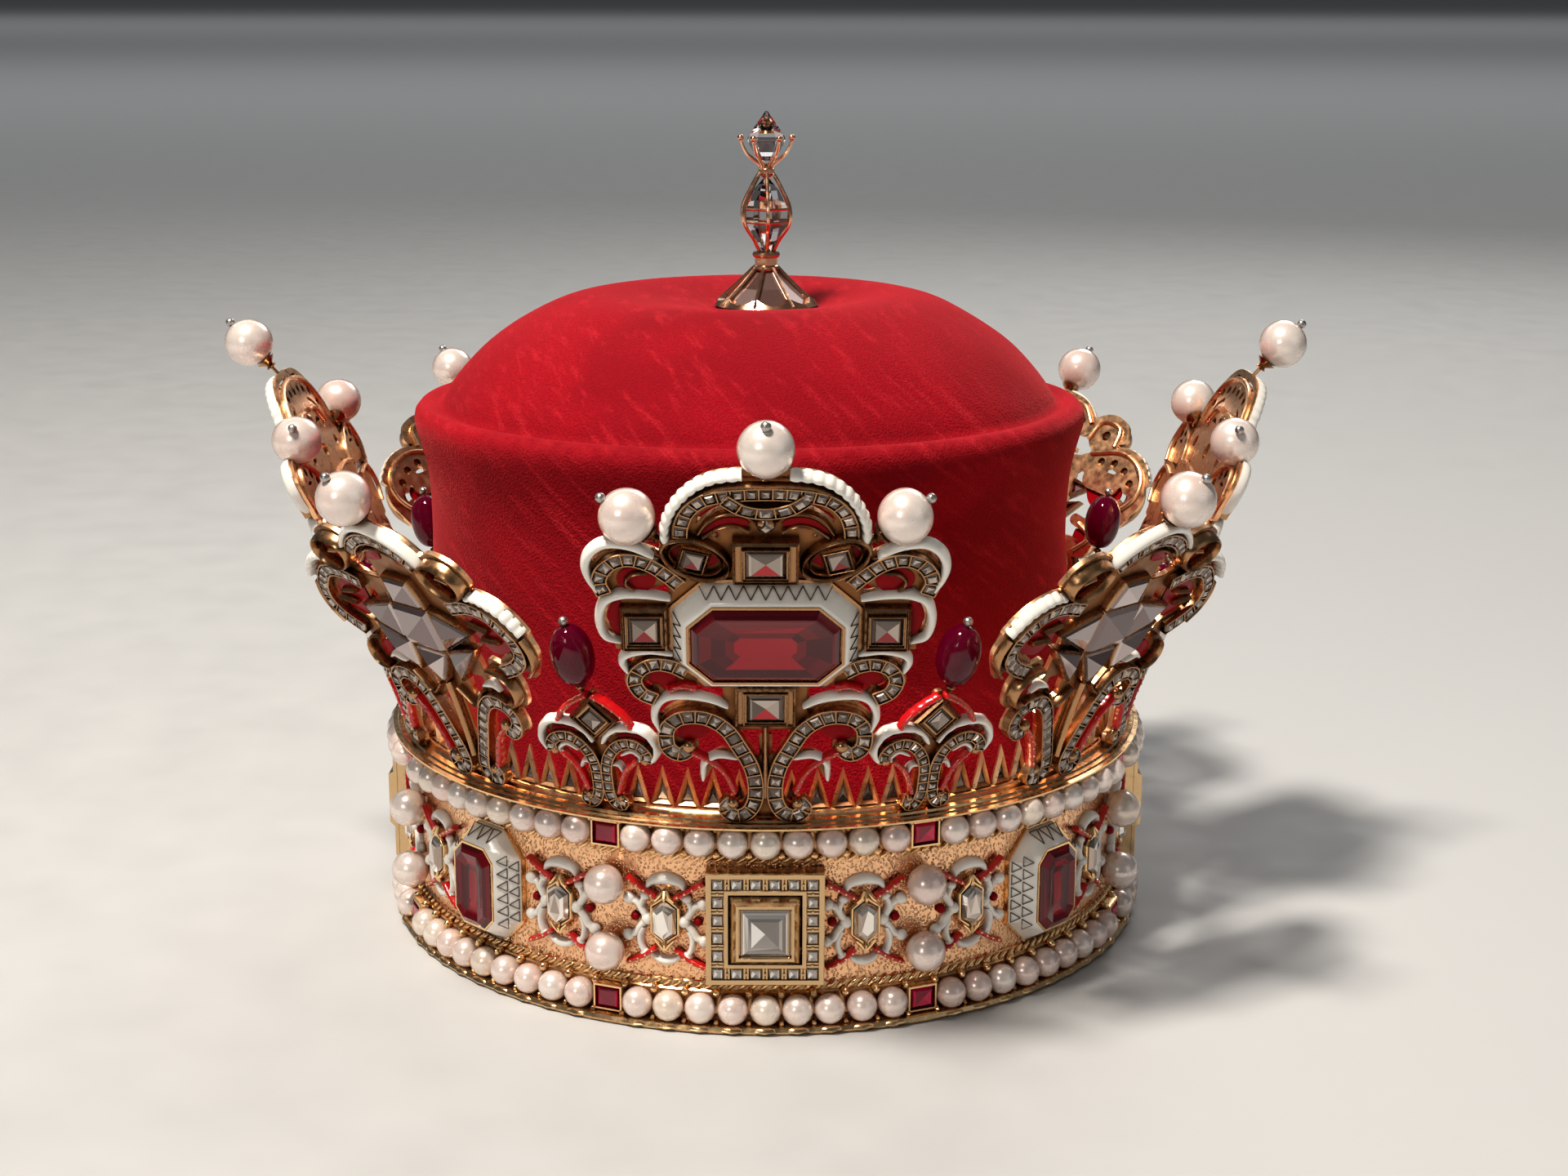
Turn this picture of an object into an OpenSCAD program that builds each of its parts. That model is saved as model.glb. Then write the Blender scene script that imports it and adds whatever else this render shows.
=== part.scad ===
// Gold crown: a jewelled band, a spiked cresting, eight large and eight small palmettes,
// a velvet cap inside it and a rock crystal finial on the cap.
// Millimetres, z = 0 at the lower edge of the band, the front faces -Y, +X is to the right.

/* [Band] */
// Inner radius of the head opening
opening_r = 89.5; // [84:0.5:92]
// Outer radius of the plain wall between the pearl rows
wall_r = 93.5; // [93:0.1:93.7]
// Height of the wall up to the foot of the spikes
wall_h = 53.5; // [52:0.5:55]
// Radius on which both rows of pearls are strung
row_r = 97; // [96.8:0.1:98]
// Height of the lower row of pearls
lower_row_z = 5.6; // [5.4:0.1:6]
// Height of the upper row of pearls
upper_row_z = 46.7; // [46:0.1:46.8]
// Diameter of a row pearl
row_pearl_d = 6.6; // [5.6:0.1:6.6]

/* [Cresting] */
// Number of spikes around the band
spike_count = 96; // [72:8:96]
// Height of a spike above the wall
spike_h = 9.5; // [6:0.5:14]

/* [Plaques and settings] */
// Side of a square diamond plaque
plaque_w = 27.4; // [24:0.2:28]
// Side of the step cut diamond in it
plaque_stone_w = 11.3; // [9:0.1:12]
// Width of an octagonal band ruby
band_ruby_w = 13.4; // [11:0.1:14]
// Height of an octagonal band ruby
band_ruby_h = 19.8; // [17:0.1:21]
// Diameter of the paired pearls between the settings
band_pearl_d = 9.6; // [8:0.1:10]

/* [Palmettes] */
// Thickness of the gold plate
plate_t = 1.5; // [1.2:0.1:1.6]
// Height of the raised rims on the plate
rim_t = 0.9; // [0.5:0.1:1.2]
// Width of the large ruby of a main palmette
big_ruby_w = 32.6; // [28:0.2:33]
// Height of the large ruby of a main palmette
big_ruby_h = 19; // [16:0.2:20]
// Diameter of the pearls on the palmettes
tip_pearl_d = 12.4; // [11:0.1:12.6]

/* [Cap and finial] */
// Thickness of the padded velvet
velvet_t = 2; // [1.5:0.1:2.5]
// Shift of the cap's crown to the left
cap_shift = 4.6; // [0:0.2:5]
// Height of the tip of the finial
tip_z = 206.8; // [204:0.2:210]

/* [Hidden] */
$fn = 96;
gap = 0.1;
opening_d = 2 * opening_r;
mid_z = (lower_row_z + upper_row_z) / 2;
pitch_a = 4.5;
eps = 0.02;

gold = [0.85, 0.62, 0.28];
white = [0.95, 0.92, 0.86];
ruby = [0.5, 0.02, 0.06];
crystal = [0.85, 0.88, 0.92];
pearl = [0.93, 0.86, 0.78];
velvet = [0.72, 0.03, 0.08];

// Bent plates. Columns: lean of the chord, length of the chord, sag of the plate behind it
main_bend = [19.68, 94.5, 3.72];
side_bend = [26.24, 83.6, 4.42];
minor_bend = [14.5, 29.9, 0.42];

// Turns what is drawn at the front of the crown to its own place around the axis
module around(angle) {
    rotate([0, 0, angle]) children();
}

// Stands a flat drawing up at the front, with its own z pointing outwards
module facing(radius, height) {
    translate([0, -radius, height]) rotate([90, 0, 0]) children();
}

module both_sides() {
    children();
    mirror([1, 0, 0]) children();
}

// Straight bar whose section is a trapezoid, wide at z = 0 and narrow at the top
module wedge_bar(base, top, depth, length) {
    rotate([90, 0, 0])
        linear_extrude(height = length, center = true)
            polygon([[-base / 2, 0], [base / 2, 0], [top / 2, depth], [-top / 2, depth]]);
}

// Block with cut corners and four tapered sides: a setting, or one step of a step cut stone
module step_block(w, h, corner, flare, depth) {
    across = (w + h) / sqrt(2) - corner * sqrt(2);
    far = 3 * (w + h + 2 * flare);
    intersection() {
        wedge_bar(w + 2 * flare, w, depth, far);
        rotate([0, 0, 90]) wedge_bar(h + 2 * flare, h, depth, far);
        rotate([0, 0, 45]) wedge_bar(across + 2 * flare, across, depth, far);
        rotate([0, 0, -45]) wedge_bar(across + 2 * flare, across, depth, far);
    }
}

module oblong(w, h, corner) {
    c = corner;
    polygon([
        [-w / 2 + c, -h / 2],
        [w / 2 - c, -h / 2],
        [w / 2, -h / 2 + c],
        [w / 2, h / 2 - c],
        [w / 2 - c, h / 2],
        [-w / 2 + c, h / 2],
        [-w / 2, h / 2 - c],
        [-w / 2, -h / 2 + c]
    ]);
}

// Step cut stone: a straight girdle under two sloping steps
module step_stone(w, h, corner, under, first, second) {
    slope = first * 0.9;
    union() {
        translate([0, 0, -under])
            linear_extrude(height = under + eps) oblong(w, h, corner);
        step_block(w - 2 * slope, h - 2 * slope, corner, slope, first);
        translate([0, 0, first - eps])
            step_block(w - 5 * slope, h - 5 * slope, corner, slope * 1.4, second);
    }
}

// Frustums with eight, six and four flat sides, given by their radius to the corners
module eight_sided(r1, r2, h) {
    across = 2 * cos(22.5);
    far = 6 * (r1 + r2);
    intersection() {
        wedge_bar(across * r1, across * r2, h, far);
        rotate([0, 0, 45]) wedge_bar(across * r1, across * r2, h, far);
        rotate([0, 0, 90]) wedge_bar(across * r1, across * r2, h, far);
        rotate([0, 0, 135]) wedge_bar(across * r1, across * r2, h, far);
    }
}

module six_sided(r1, r2, h) {
    across = 2 * cos(30);
    far = 6 * (r1 + r2);
    intersection() {
        wedge_bar(across * r1, across * r2, h, far);
        rotate([0, 0, 60]) wedge_bar(across * r1, across * r2, h, far);
        rotate([0, 0, 120]) wedge_bar(across * r1, across * r2, h, far);
    }
}

module four_sided(base, top, h) {
    intersection() {
        wedge_bar(base, top, h, 6 * base);
        rotate([0, 0, 90]) wedge_bar(base, top, h, 6 * base);
    }
}

// Room for the curved wall of the band behind a setting
module wall_cut() {
    translate([0, 0, -1]) cylinder(r = wall_r + gap, h = 60, $fn = 720);
}

module ring_arc(radius, wide, from, to) {
    rotate([0, 0, from])
        rotate_extrude(angle = to - from)
            translate([radius, 0]) circle(d = wide);
}

// Circlet: wall, seats for the pearls, rope lines, sloping ledge, bezels and spikes in one
module circlet_section() {
    polygon([
        [opening_r, 0],
        [98.6, 0],
        [99.2, 0.9],
        [98.6, 1.9],
        [wall_r, 1.9],
        [wall_r, 9.4],
        [94.7, 9.8],
        [94.7, 10.6],
        [wall_r, 11],
        [wall_r, 41.4],
        [94.7, 41.8],
        [94.7, 42.6],
        [wall_r, 43],
        [wall_r, 50.2],
        [98.4, 50.2],
        [98.8, 50.8],
        [96.8, 51.4],
        [96.4, 52.1],
        [93.6, 52.8],
        [93.2, wall_h],
        [opening_r, wall_h]
    ]);
}

module spike() {
    half = 3.02;
    facing(91.3, wall_h - 0.4)
        linear_extrude(height = 1)
            difference() {
                polygon([[-half, 0], [half, 0], [0, spike_h + 0.4]]);
                polygon([[-half + 1.6, 1.1], [half - 1.6, 1.1], [0, spike_h * 0.66]]);
            }
}

module rim_bezel(z) {
    facing(wall_r - 0.6, z)
        linear_extrude(height = 4.6)
            difference() {
                square([7.4, 6.8], center = true);
                square([6.2, 5.6], center = true);
            }
}

module circlet() {
    color(gold) union() {
        rotate_extrude() circlet_section();
        for (i = [0 : spike_count - 1])
            around(i * 360 / spike_count) spike();
        for (k = [0 : 7], z = [lower_row_z, upper_row_z])
            around(22.5 + 45 * k) rim_bezel(z);
    }
}

module rim_rubies() {
    color(ruby)
        for (k = [0 : 7], z = [lower_row_z, upper_row_z])
            around(22.5 + 45 * k)
                facing(wall_r + gap, z)
                    linear_extrude(height = 4.2) square([6.2 - 2 * gap, 5.6 - 2 * gap], center = true);
}

// Nine pearls on their thread between two bezels, for each eighth of the band
module pearl_row(z) {
    thread = 2 * row_r * sin(pitch_a / 2);
    color(pearl)
        for (k = [0 : 7])
            around(45 * k)
                translate([0, 0, z])
                    union() {
                        for (i = [-4 : 4])
                            around(i * pitch_a)
                                translate([0, -row_r, 0]) rotate(90) sphere(d = row_pearl_d);
                        for (i = [-4 : 3])
                            around((i + 0.5) * pitch_a)
                                translate([0, -row_r * cos(pitch_a / 2), 0])
                                    rotate([0, 90, 0]) cylinder(d = 1.2, h = thread, center = true);
                    }
}

module diamond_plaque() {
    color(gold)
        difference() {
            union() {
                facing(92, mid_z)
                    linear_extrude(height = 6.2) square([plaque_w, plaque_w], center = true);
                facing(98.2 - eps, mid_z) step_block(13.2, 13.2, 0.2, 2, 2.9);
            }
            facing(97.6, mid_z)
                linear_extrude(height = 6) square(plaque_stone_w + 2 * gap, center = true);
            wall_cut();
        }
}

module plaque_diamond() {
    color(crystal)
        facing(99.9, mid_z) step_stone(plaque_stone_w, plaque_stone_w, 0.3, 2.2, 0.9, 0.6);
}

module ruby_setting() {
    w = band_ruby_w + 1.4;
    h = band_ruby_h + 1.4;
    color(white)
        difference() {
            facing(92.6, mid_z) step_block(w, h, 3.2, 3.6, 6.8);
            facing(95.6, mid_z)
                linear_extrude(height = 6)
                    oblong(band_ruby_w + 2 * gap, band_ruby_h + 2 * gap, 2.8);
            wall_cut();
        }
}

module band_ruby() {
    color(ruby)
        facing(99.6, mid_z) step_stone(band_ruby_w, band_ruby_h, 2.8, 3.8, 1, 0.7);
}

module band_pearls() {
    color(pearl)
        for (k = [0 : 7], side = [-1, 1])
            around(22.5 + 45 * k)
                translate([0, -wall_r - gap - band_pearl_d / 2, mid_z + side * 8.3])
                    sphere(d = band_pearl_d);
}

// Long hexagon of the rock crystals on the band
module long_hexagon(w, h) {
    polygon([
        [-w / 2, -h / 2 + w / 2],
        [0, -h / 2],
        [w / 2, -h / 2 + w / 2],
        [w / 2, h / 2 - w / 2],
        [0, h / 2],
        [-w / 2, h / 2 - w / 2]
    ]);
}

// Scrolls of white enamel around one crystal and its bezel
module scroll_unit() {
    facing(wall_r + gap, mid_z) {
        linear_extrude(height = 2.6)
            difference() {
                long_hexagon(8, 13.4);
                long_hexagon(6.2, 11.2);
            }
        linear_extrude(height = 0.5) long_hexagon(8, 13.4);
        for (side = [-1, 1])
            scale([1, side, 1]) {
                translate([0, 6.2, 1.2]) ring_arc(4.2, 1.8, 10, 170);
                both_sides() {
                    translate([4.4, 3.6, 1.2]) ring_arc(2.6, 1.6, -70, 100);
                    translate([4.2, 5.6, 1.2]) sphere(d = 2.4);
                }
            }
        both_sides() translate([4.4, 0, 1.2]) sphere(d = 2.6);
    }
}

module band_scrolls() {
    color(white)
        for (side = [-1, 1])
            around(side * 8.3)
                difference() {
                    scroll_unit();
                    wall_cut();
                }
}

module band_crystals() {
    color(crystal)
        for (k = [0 : 7], side = [-1, 1])
            around(22.5 + 45 * k + side * 8.3)
                facing(wall_r + 0.7 + gap, mid_z)
                    union() {
                        linear_extrude(height = 2.2) long_hexagon(6, 11);
                        translate([0, 0, 2.2 - eps])
                            linear_extrude(height = 1) long_hexagon(3.6, 8);
                    }
}

// Palmettes. A plate is drawn flat and cut out of a curved sheet that leans outwards
module on_plate(bend) {
    translate([0, -94, 49.6]) rotate([90 + bend[0], 0, 0]) children();
}

function bend_radius(bend) = bend[1] * bend[1] / (8 * bend[2]) + bend[2] / 2;
function bend_depth(bend, along) =
    bend_radius(bend) - bend[2]
    - sqrt(pow(bend_radius(bend), 2) - pow(along - bend[1] / 2, 2));

function bend_tilt(bend, along) = asin((along - bend[1] / 2) / bend_radius(bend));

module bent(bend, front, thick) {
    radius = bend_radius(bend);
    intersection() {
        linear_extrude(height = 24, center = true) children();
        translate([0, bend[1] / 2, radius - bend[2]])
            rotate([0, 90, 0])
                difference() {
                    cylinder(r = radius + thick, h = 130, center = true, $fn = 720);
                    cylinder(r = radius - front, h = 140, center = true, $fn = 720);
                }
    }
}

// Columns: distance from the middle line, distance along the plate, radius
main_lobes = [
    [8, 82, 12.4],
    [15, 72, 7],
    [30.4, 67.2, 7.4],
    [24, 65, 6.4],
    [27, 55.5, 8],
    [25, 40.8, 6.2],
    [15.6, 27.4, 7.6],
    [7.5, 36, 7],
    [5, 24.6, 6]
];
side_lobes = [
    [6, 64, 11.4],
    [20, 60, 6.4],
    [32, 54.4, 8],
    [28.6, 44.6, 7],
    [15, 48, 12],
    [12, 36, 7],
    [15.4, 23.6, 6.2]
];
minor_lobes = [[8.3, 19.2, 6.1]];
// Columns: distance from the middle line, distance along the plate, radius of an opening
main_holes = [
    [15.4, 26.6, 4.4],
    [22.6, 48, 2],
    [20.6, 60.6, 1.6],
    [22.4, 71, 1.8],
    [8, 86, 2.6]
];
side_holes = [
    [15.4, 23, 3.4],
    [22, 52, 2.2],
    [8, 68, 2.6],
    [22, 40, 1.8]
];
minor_holes = [[8.3, 18.8, 3.2]];

module discs(rows) {
    for (row = rows)
        translate([row[0], row[1]]) circle(r = row[2]);
}

// Pair of stems that part at the foot and end in outward curls
module stems(width, height, spread, curl_r) {
    difference() {
        polygon([
            [0, 3.4 + curl_r],
            [spread, 3.4 + curl_r],
            [spread - 0.6, 3.6 + 2 * curl_r],
            [width + 0.6, height * 0.75],
            [width + 2.4, height],
            [0, height]
        ]);
        polygon([[-1, 0], [spread - 2.6, 0], [0.5, height * 0.8], [-1, height * 0.8]]);
    }
    translate([spread, 3.7 + curl_r]) circle(r = curl_r);
}

module main_outline() {
    both_sides()
        difference() {
            union() {
                discs(main_lobes);
                translate([0, 33]) square([20, 33]);
                translate([0, 66]) square([9, 28.4]);
                stems(1.8, 24, 5.6, 2.6);
            }
            discs(main_holes);
        }
}

module side_outline() {
    both_sides()
        difference() {
            union() {
                discs(side_lobes);
                translate([0, 32]) square([14, 26]);
                translate([0, 56]) square([7, 19.4]);
                stems(1.8, 36, 5.2, 2.4);
            }
            discs(side_holes);
        }
}

module minor_outline() {
    both_sides()
        difference() {
            union() {
                discs(minor_lobes);
                stems(1.2, 22, 2.6, 1.7);
            }
            discs(minor_holes);
        }
    translate([0, 27]) rotate([0, 0, 45]) square(8, center = true);
}

// Raised rim that follows the edge of each lobe
module rims(rows) {
    both_sides()
        for (row = rows)
            translate([row[0], row[1]])
                difference() {
                    circle(r = row[2]);
                    circle(r = row[2] - 1.8);
                }
}

// Places its children at a point, with their z axis towards a second point
module towards(start, end) {
    way = end - start;
    translate(start)
        rotate([0, acos(way[2] / norm(way)), atan2(way[1], way[0])]) children();
}

// Pin from its foot on a plate through the middle of a pearl, with a round head
module pin(bend, pearl_at) {
    reach = norm(pearl_at[1] - pearl_at[0]) + tip_pearl_d / 2;
    on_plate(bend)
        towards(pearl_at[0], pearl_at[1]) {
            cylinder(d = 1, h = reach + 0.6);
            translate([0, 0, reach + 1.1]) sphere(d = 2.2);
        }
}

// Foot of the pin and middle of the pearl, for palmettes 1 and 5, then for 3 and 7, then
// for the even ones. Columns: distance from the middle line, along the plate, in front
// of its chord. The pins of the outer pearls lean outwards
front_pearls = [
    [[0, 91, -2.2], [0, 101.2, 1]],
    [[20, 74.6, -2.6], [29.5, 82.2, -3.4]],
    [[-20, 74.6, -2.6], [-29.5, 82.2, -3.4]]];
flank_pearls = [
    [[0, 91, -1.8], [0, 105.8, 4.1]],
    [[20, 74.6, -2.6], [29.5, 81, -5.2]],
    [[-20, 74.6, -2.6], [-29.5, 81, -5.2]]];
side_top_pearl = [[0, 70, 0.5], [0, 86.1, 0.5]];

function main_pearls(k) = k % 4 == 1 ? front_pearls : flank_pearls;

module drilled_pearl(bend, pearl_at, size) {
    on_plate(bend)
        towards(pearl_at[1], 2 * pearl_at[1] - pearl_at[0])
            difference() {
                sphere(d = size);
                cylinder(d = 1.2, h = 2 * size, center = true);
            }
}

module square_bezel(along, across, w, h, depth) {
    translate([across, along, -depth])
        linear_extrude(height = 3.4)
            difference() {
                square([w, h], center = true);
                square([w - 3, h - 3], center = true);
            }
}

// Main palmette with the flared collet that holds the large ruby
module main_palmette(k) {
    color(gold)
        union() {
            on_plate(main_bend) {
                bent(main_bend, 0, plate_t) main_outline();
                bent(main_bend, rim_t, 0.5)
                    intersection() {
                        main_outline();
                        rims(main_lobes);
                    }
                translate([0, 52.5, -4])
                    difference() {
                        step_block(big_ruby_w + 1.6, big_ruby_h + 1.6, 5, 3.4, 5.4);
                        translate([0, 0, 2])
                            linear_extrude(height = 6)
                                oblong(big_ruby_w + 2 * gap, big_ruby_h + 2 * gap, 4.6);
                    }
                square_bezel(72, 0, 15, 11.2, 3.6);
                square_bezel(33, 0, 14, 9.4, 4.4);
                both_sides() square_bezel(53.5, 26.4, 9.4, 10, 4.8);
            }
            for (p = main_pearls(k))
                pin(main_bend, p);
        }
}

module side_palmette() {
    color(gold)
        union() {
            on_plate(side_bend) {
                bent(side_bend, 0, plate_t) side_outline();
                bent(side_bend, rim_t, 0.5)
                    intersection() {
                        side_outline();
                        rims(side_lobes);
                    }
            }
            pin(side_bend, side_top_pearl);
            on_plate(side_bend) translate([0, 71, -0.6]) cube([2, 3, 3], center = true);
        }
}

module palmette(k) {
    around(45 * (k - 1))
        if (k % 2 == 1)
            main_palmette(k);
        else
            side_palmette();
}

// Small palmettes lean their ruby bead away from the front of the crown
function minor_angle(k) = 22.5 + 45 * (k - 1);
function bead_side(k) = minor_angle(k) < 180 ? 1 : -1;
bead_tilt = 7;
bead_at = 43;
bead_d = 10;
bead_l = 15;

module bead_frame(k) {
    around(minor_angle(k))
        on_plate(minor_bend)
            translate([0, 12, 0.5]) rotate([0, 0, -bead_tilt * bead_side(k)]) translate([0, -12, 0]) children();
}

module minor_palmette(k) {
    color(gold)
        union() {
            around(minor_angle(k))
                on_plate(minor_bend) {
                    bent(minor_bend, 0, plate_t) minor_outline();
                    bent(minor_bend, rim_t, 0.5)
                        intersection() {
                            minor_outline();
                            rims(minor_lobes);
                        }
                    translate([0, 27, -0.8])
                        rotate([0, 0, 45])
                            linear_extrude(height = 3)
                                difference() {
                                    square(8, center = true);
                                    square(5, center = true);
                                }
                }
            bead_frame(k) {
                translate([0, 29, -0.8])
                    rotate([-90, 0, 0]) cylinder(d = 1, h = bead_at - 29 + bead_l / 2 + 0.6);
                translate([0, bead_at + bead_l / 2 + 1.1, -0.8]) sphere(d = 2.2);
            }
        }
}

module ruby_beads() {
    color(ruby)
        for (k = [1 : 8])
            bead_frame(k)
                translate([0, bead_at, -0.8])
                    rotate([-90, 0, 0])
                        rotate_extrude()
                            difference() {
                                polygon(concat(
                                    [for (t = [-84 : 12 : 84]) [bead_d / 2 * cos(t), bead_l / 2 * sin(t)]],
                                    [[0, bead_l / 2], [0, -bead_l / 2]]
                                ));
                                translate([-1, -20]) square([1.6, 40]);
                            }
}

module palmette_pearls() {
    color(pearl) {
        for (k = [1 : 2 : 7], p = [0 : 2])
            around(45 * (k - 1)) drilled_pearl(main_bend, main_pearls(k)[p], tip_pearl_d);
        for (k = [2 : 2 : 8])
            around(45 * (k - 1)) drilled_pearl(side_bend, side_top_pearl, tip_pearl_d + 0.4);
    }
}

module palmette_ruby() {
    color(ruby)
        on_plate(main_bend)
            translate([0, 52.5, 1.2])
                step_stone(big_ruby_w, big_ruby_h, 4.6, 3, 1.2, 0.9);
}

// Cluster of large pointed rock crystals in the middle of a side palmette
// Columns: distance from the middle line, distance along the plate, side, turn, height
cluster = [
    [0, 48.5, 14, 45, 6.4],
    [17.5, 50.5, 9, 45, 4.6],
    [-17.5, 50.5, 9, 45, 4.6],
    [0, 64.4, 7.4, 45, 4.2],
    [0, 32.4, 7, 45, 4]
];

module palmette_crystals() {
    color(crystal)
        on_plate(side_bend)
            for (c = cluster)
                translate([c[0], c[1], bend_depth(side_bend, c[1]) + 1.3])
                    rotate([bend_tilt(side_bend, c[1]), 0, 0])
                        rotate([0, 0, c[3]]) four_sided(c[2], 0.8, c[4]);
}

// Velvet cap. Columns: radius, height, share of the shift to the left, share of the tilt
cap_rows = [
    [88.3, 3, 0, 0],
    [88.3, 24, 0, 0],
    [88.2, 44, 0, 0],
    [87.2, 54, 0.15, 0],
    [85.2, 66, 0.5, 0],
    [83.8, 82, 0.85, 0],
    [83, 98, 1, 0],
    [82.9, 110, 1, 0.1],
    [83.8, 118, 1, 0.4],
    [85.4, 124.5, 1, 0.8],
    [86.5, 129, 1, 1],
    [86.2, 132, 1, 1],
    [84.6, 133.8, 1, 1],
    [82.4, 134, 1, 1],
    [80.6, 133, 1, 1],
    [79.4, 133.2, 1, 1],
    [77.6, 136.6, 1, 0.9],
    [74.4, 141, 1, 0.6],
    [68, 147.6, 1, 0.4],
    [60, 153.4, 1, 0.2],
    [50, 158.6, 0.9, 0],
    [41, 161.6, 0.8, 0],
    [32, 162.9, 0.6, 0],
    [24, 162.2, 0.4, 0],
    [19, 159.8, 0.2, 0],
    [15.4, 157.9, 0, 0],
    [12.6, 157.3, 0, 0],
    [6, 157.2, 0, 0]
];
cap_steps = 60;
ridge_tilt = 1.8;

function cap_normal(i) =
    let (
        a = cap_rows[max(i - 1, 0)],
        b = cap_rows[min(i + 1, len(cap_rows) - 1)],
        d = [b[0] - a[0], b[1] - a[1]],
        l = norm(d)
    ) [d[1] / l, -d[0] / l];

// Soft unevenness of the cloth: shallow dents around the side wall, gone at hem and crown
function cap_dent(i, t) = 0.5 * cap_rows[i][2] * (sin(3 * t + 40) + 0.6 * sin(5 * t)) * min(1, i / 6) * cap_rows[i][0] / 90;

function cap_point(i, t, inset) =
    let (
        row = cap_rows[i],
        n = cap_normal(i),
        r = row[0] - inset * n[0] + cap_dent(i, t),
        z = row[1] - inset * n[1] - row[3] * ridge_tilt * sin(t)
    ) [r * cos(t) - row[2] * cap_shift, r * sin(t), z];

function cap_ring(i, inset) = [for (j = [0 : cap_steps - 1]) cap_point(i, j * 360 / cap_steps, inset)];

// Wall between ring number a and ring number b of the list of points
function strip(a, b) = [
    for (j = [0 : cap_steps - 1])
        let (n = (j + 1) % cap_steps)
            each [
                [a * cap_steps + j, b * cap_steps + j, b * cap_steps + n],
                [a * cap_steps + j, b * cap_steps + n, a * cap_steps + n]
            ]
];

// The inside follows fewer of the sections, because it is smooth
inner_rows = [0, 2, 4, 7, 9, 11, 13, 16, 18, 20, 22, 24, 27];

module velvet_cap() {
    count = len(cap_rows);
    inside = len(inner_rows);
    outer = [for (i = [0 : count - 1]) each cap_ring(i, 0)];
    inner = [for (i = inner_rows) each cap_ring(i, velvet_t)];
    top = [0, 0, 157.2];
    under = [0, 0, 157.2 - velvet_t];
    last = (count + inside) * cap_steps;
    color(velvet)
        polyhedron(
            points = concat(outer, inner, [top, under]),
            faces = concat(
                [for (i = [0 : count - 2]) each strip(i, i + 1)],
                [for (i = [0 : inside - 2]) each strip(count + i + 1, count + i)],
                strip(count, 0),
                [for (j = [0 : cap_steps - 1])
                    [(count - 1) * cap_steps + j, last, (count - 1) * cap_steps + (j + 1) % cap_steps]],
                [for (j = [0 : cap_steps - 1])
                    [
                        (count + inside - 1) * cap_steps + (j + 1) % cap_steps,
                        last + 1,
                        (count + inside - 1) * cap_steps + j
                    ]]
            )
        );
}

// Finial on the cap
foot_z = 157.8;
foot_h = 9.4;
collar_z = 167;
knop_z = 171.6;
belt_z = 178.8;
belt_h = 4;
knop_top_z = 190.8;
tip_base_z = 194.8;
// Turn of the eight foot panes and of the six sided knop
foot_turn = 9.5;
knop_turn = 34;

module rib(points, thick, count) {
    for (i = [0 : count - 1])
        rotate([0, 0, i * 360 / count])
            rotate([90, 0, 0])
                linear_extrude(height = thick, center = true) polygon(points);
}

module finial() {
    color(gold)
        union() {
            rotate([0, 0, foot_turn]) {
                translate([0, 0, foot_z + 1]) eight_sided(12.2, 3, foot_h - 1);
                translate([0, 0, foot_z]) eight_sided(13.4, 12.6, 1.1);
                rotate([0, 0, 22.5])
                    rib([[8, foot_z],
                        [13.4, foot_z],
                        [3.7, foot_z + foot_h],
                        [1, foot_z + foot_h]], 1, 8);
            }
            translate([0, 0, collar_z]) cylinder(r = 3.4, h = 1.2);
            translate([0, 0, collar_z + 1]) cylinder(r = 2.9, h = 2.4);
            translate([0, 0, collar_z + 3.2]) cylinder(r = 3.4, h = 1.2);
            rotate([0, 0, knop_turn]) rib([[1.6, knop_z - 0.6],
                [2.9, knop_z - 0.6],
                [6.8, belt_z],
                [6.8, belt_z + belt_h],
                [2.6, knop_top_z],
                [0.6, knop_top_z + 1.2],
                [0.6, knop_top_z + 0.2],
                [1.9, knop_top_z - 0.6],
                [6.2, belt_z + belt_h - 0.2],
                [6.2, belt_z + 0.2]], 0.7, 6);
            translate([0, 0, belt_z])
                difference() {
                    cylinder(r = 6.7, h = 0.6);
                    translate([0, 0, -1]) cylinder(r = 6.15, h = 3);
                }
            translate([0, 0, belt_z + belt_h - 0.6])
                difference() {
                    cylinder(r = 6.7, h = 0.6);
                    translate([0, 0, -1]) cylinder(r = 6.15, h = 3);
                }
            translate([0, 0, knop_top_z + 1.4]) sphere(r = 2.1);
            rib([[0.4, tip_base_z - 2.4],
                [1.6, tip_base_z - 2.4],
                [5, tip_base_z + 1.2],
                [6.6, tip_base_z + 4.6],
                [5.9, tip_base_z + 4.6],
                [4.2, tip_base_z + 1.6],
                [0.9, tip_base_z - 1.2]], 0.8, 6);
            for (i = [0 : 5])
                rotate([0, 0, i * 60]) translate([6.4, 0, tip_base_z + 5]) sphere(r = 0.9);
        }
}

module finial_knop() {
    color(crystal)
        union() {
            rotate([0, 0, knop_turn]) {
                translate([0, 0, knop_z]) six_sided(1.4, 6, belt_z - knop_z + eps);
                translate([0, 0, belt_z]) six_sided(6, 6, belt_h + eps);
                translate([0, 0, belt_z + belt_h])
                    six_sided(6, 1, knop_top_z - 0.9 - belt_z - belt_h);
            }
        }
}

module finial_tip() {
    color(crystal)
        union() {
            translate([0, 0, tip_base_z]) six_sided(1.6, 4.6, 4.6 + eps);
            translate([0, 0, tip_base_z + 4.6])
                six_sided(4.6, 0.4, tip_z - tip_base_z - 4.6);
        }
}

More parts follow.
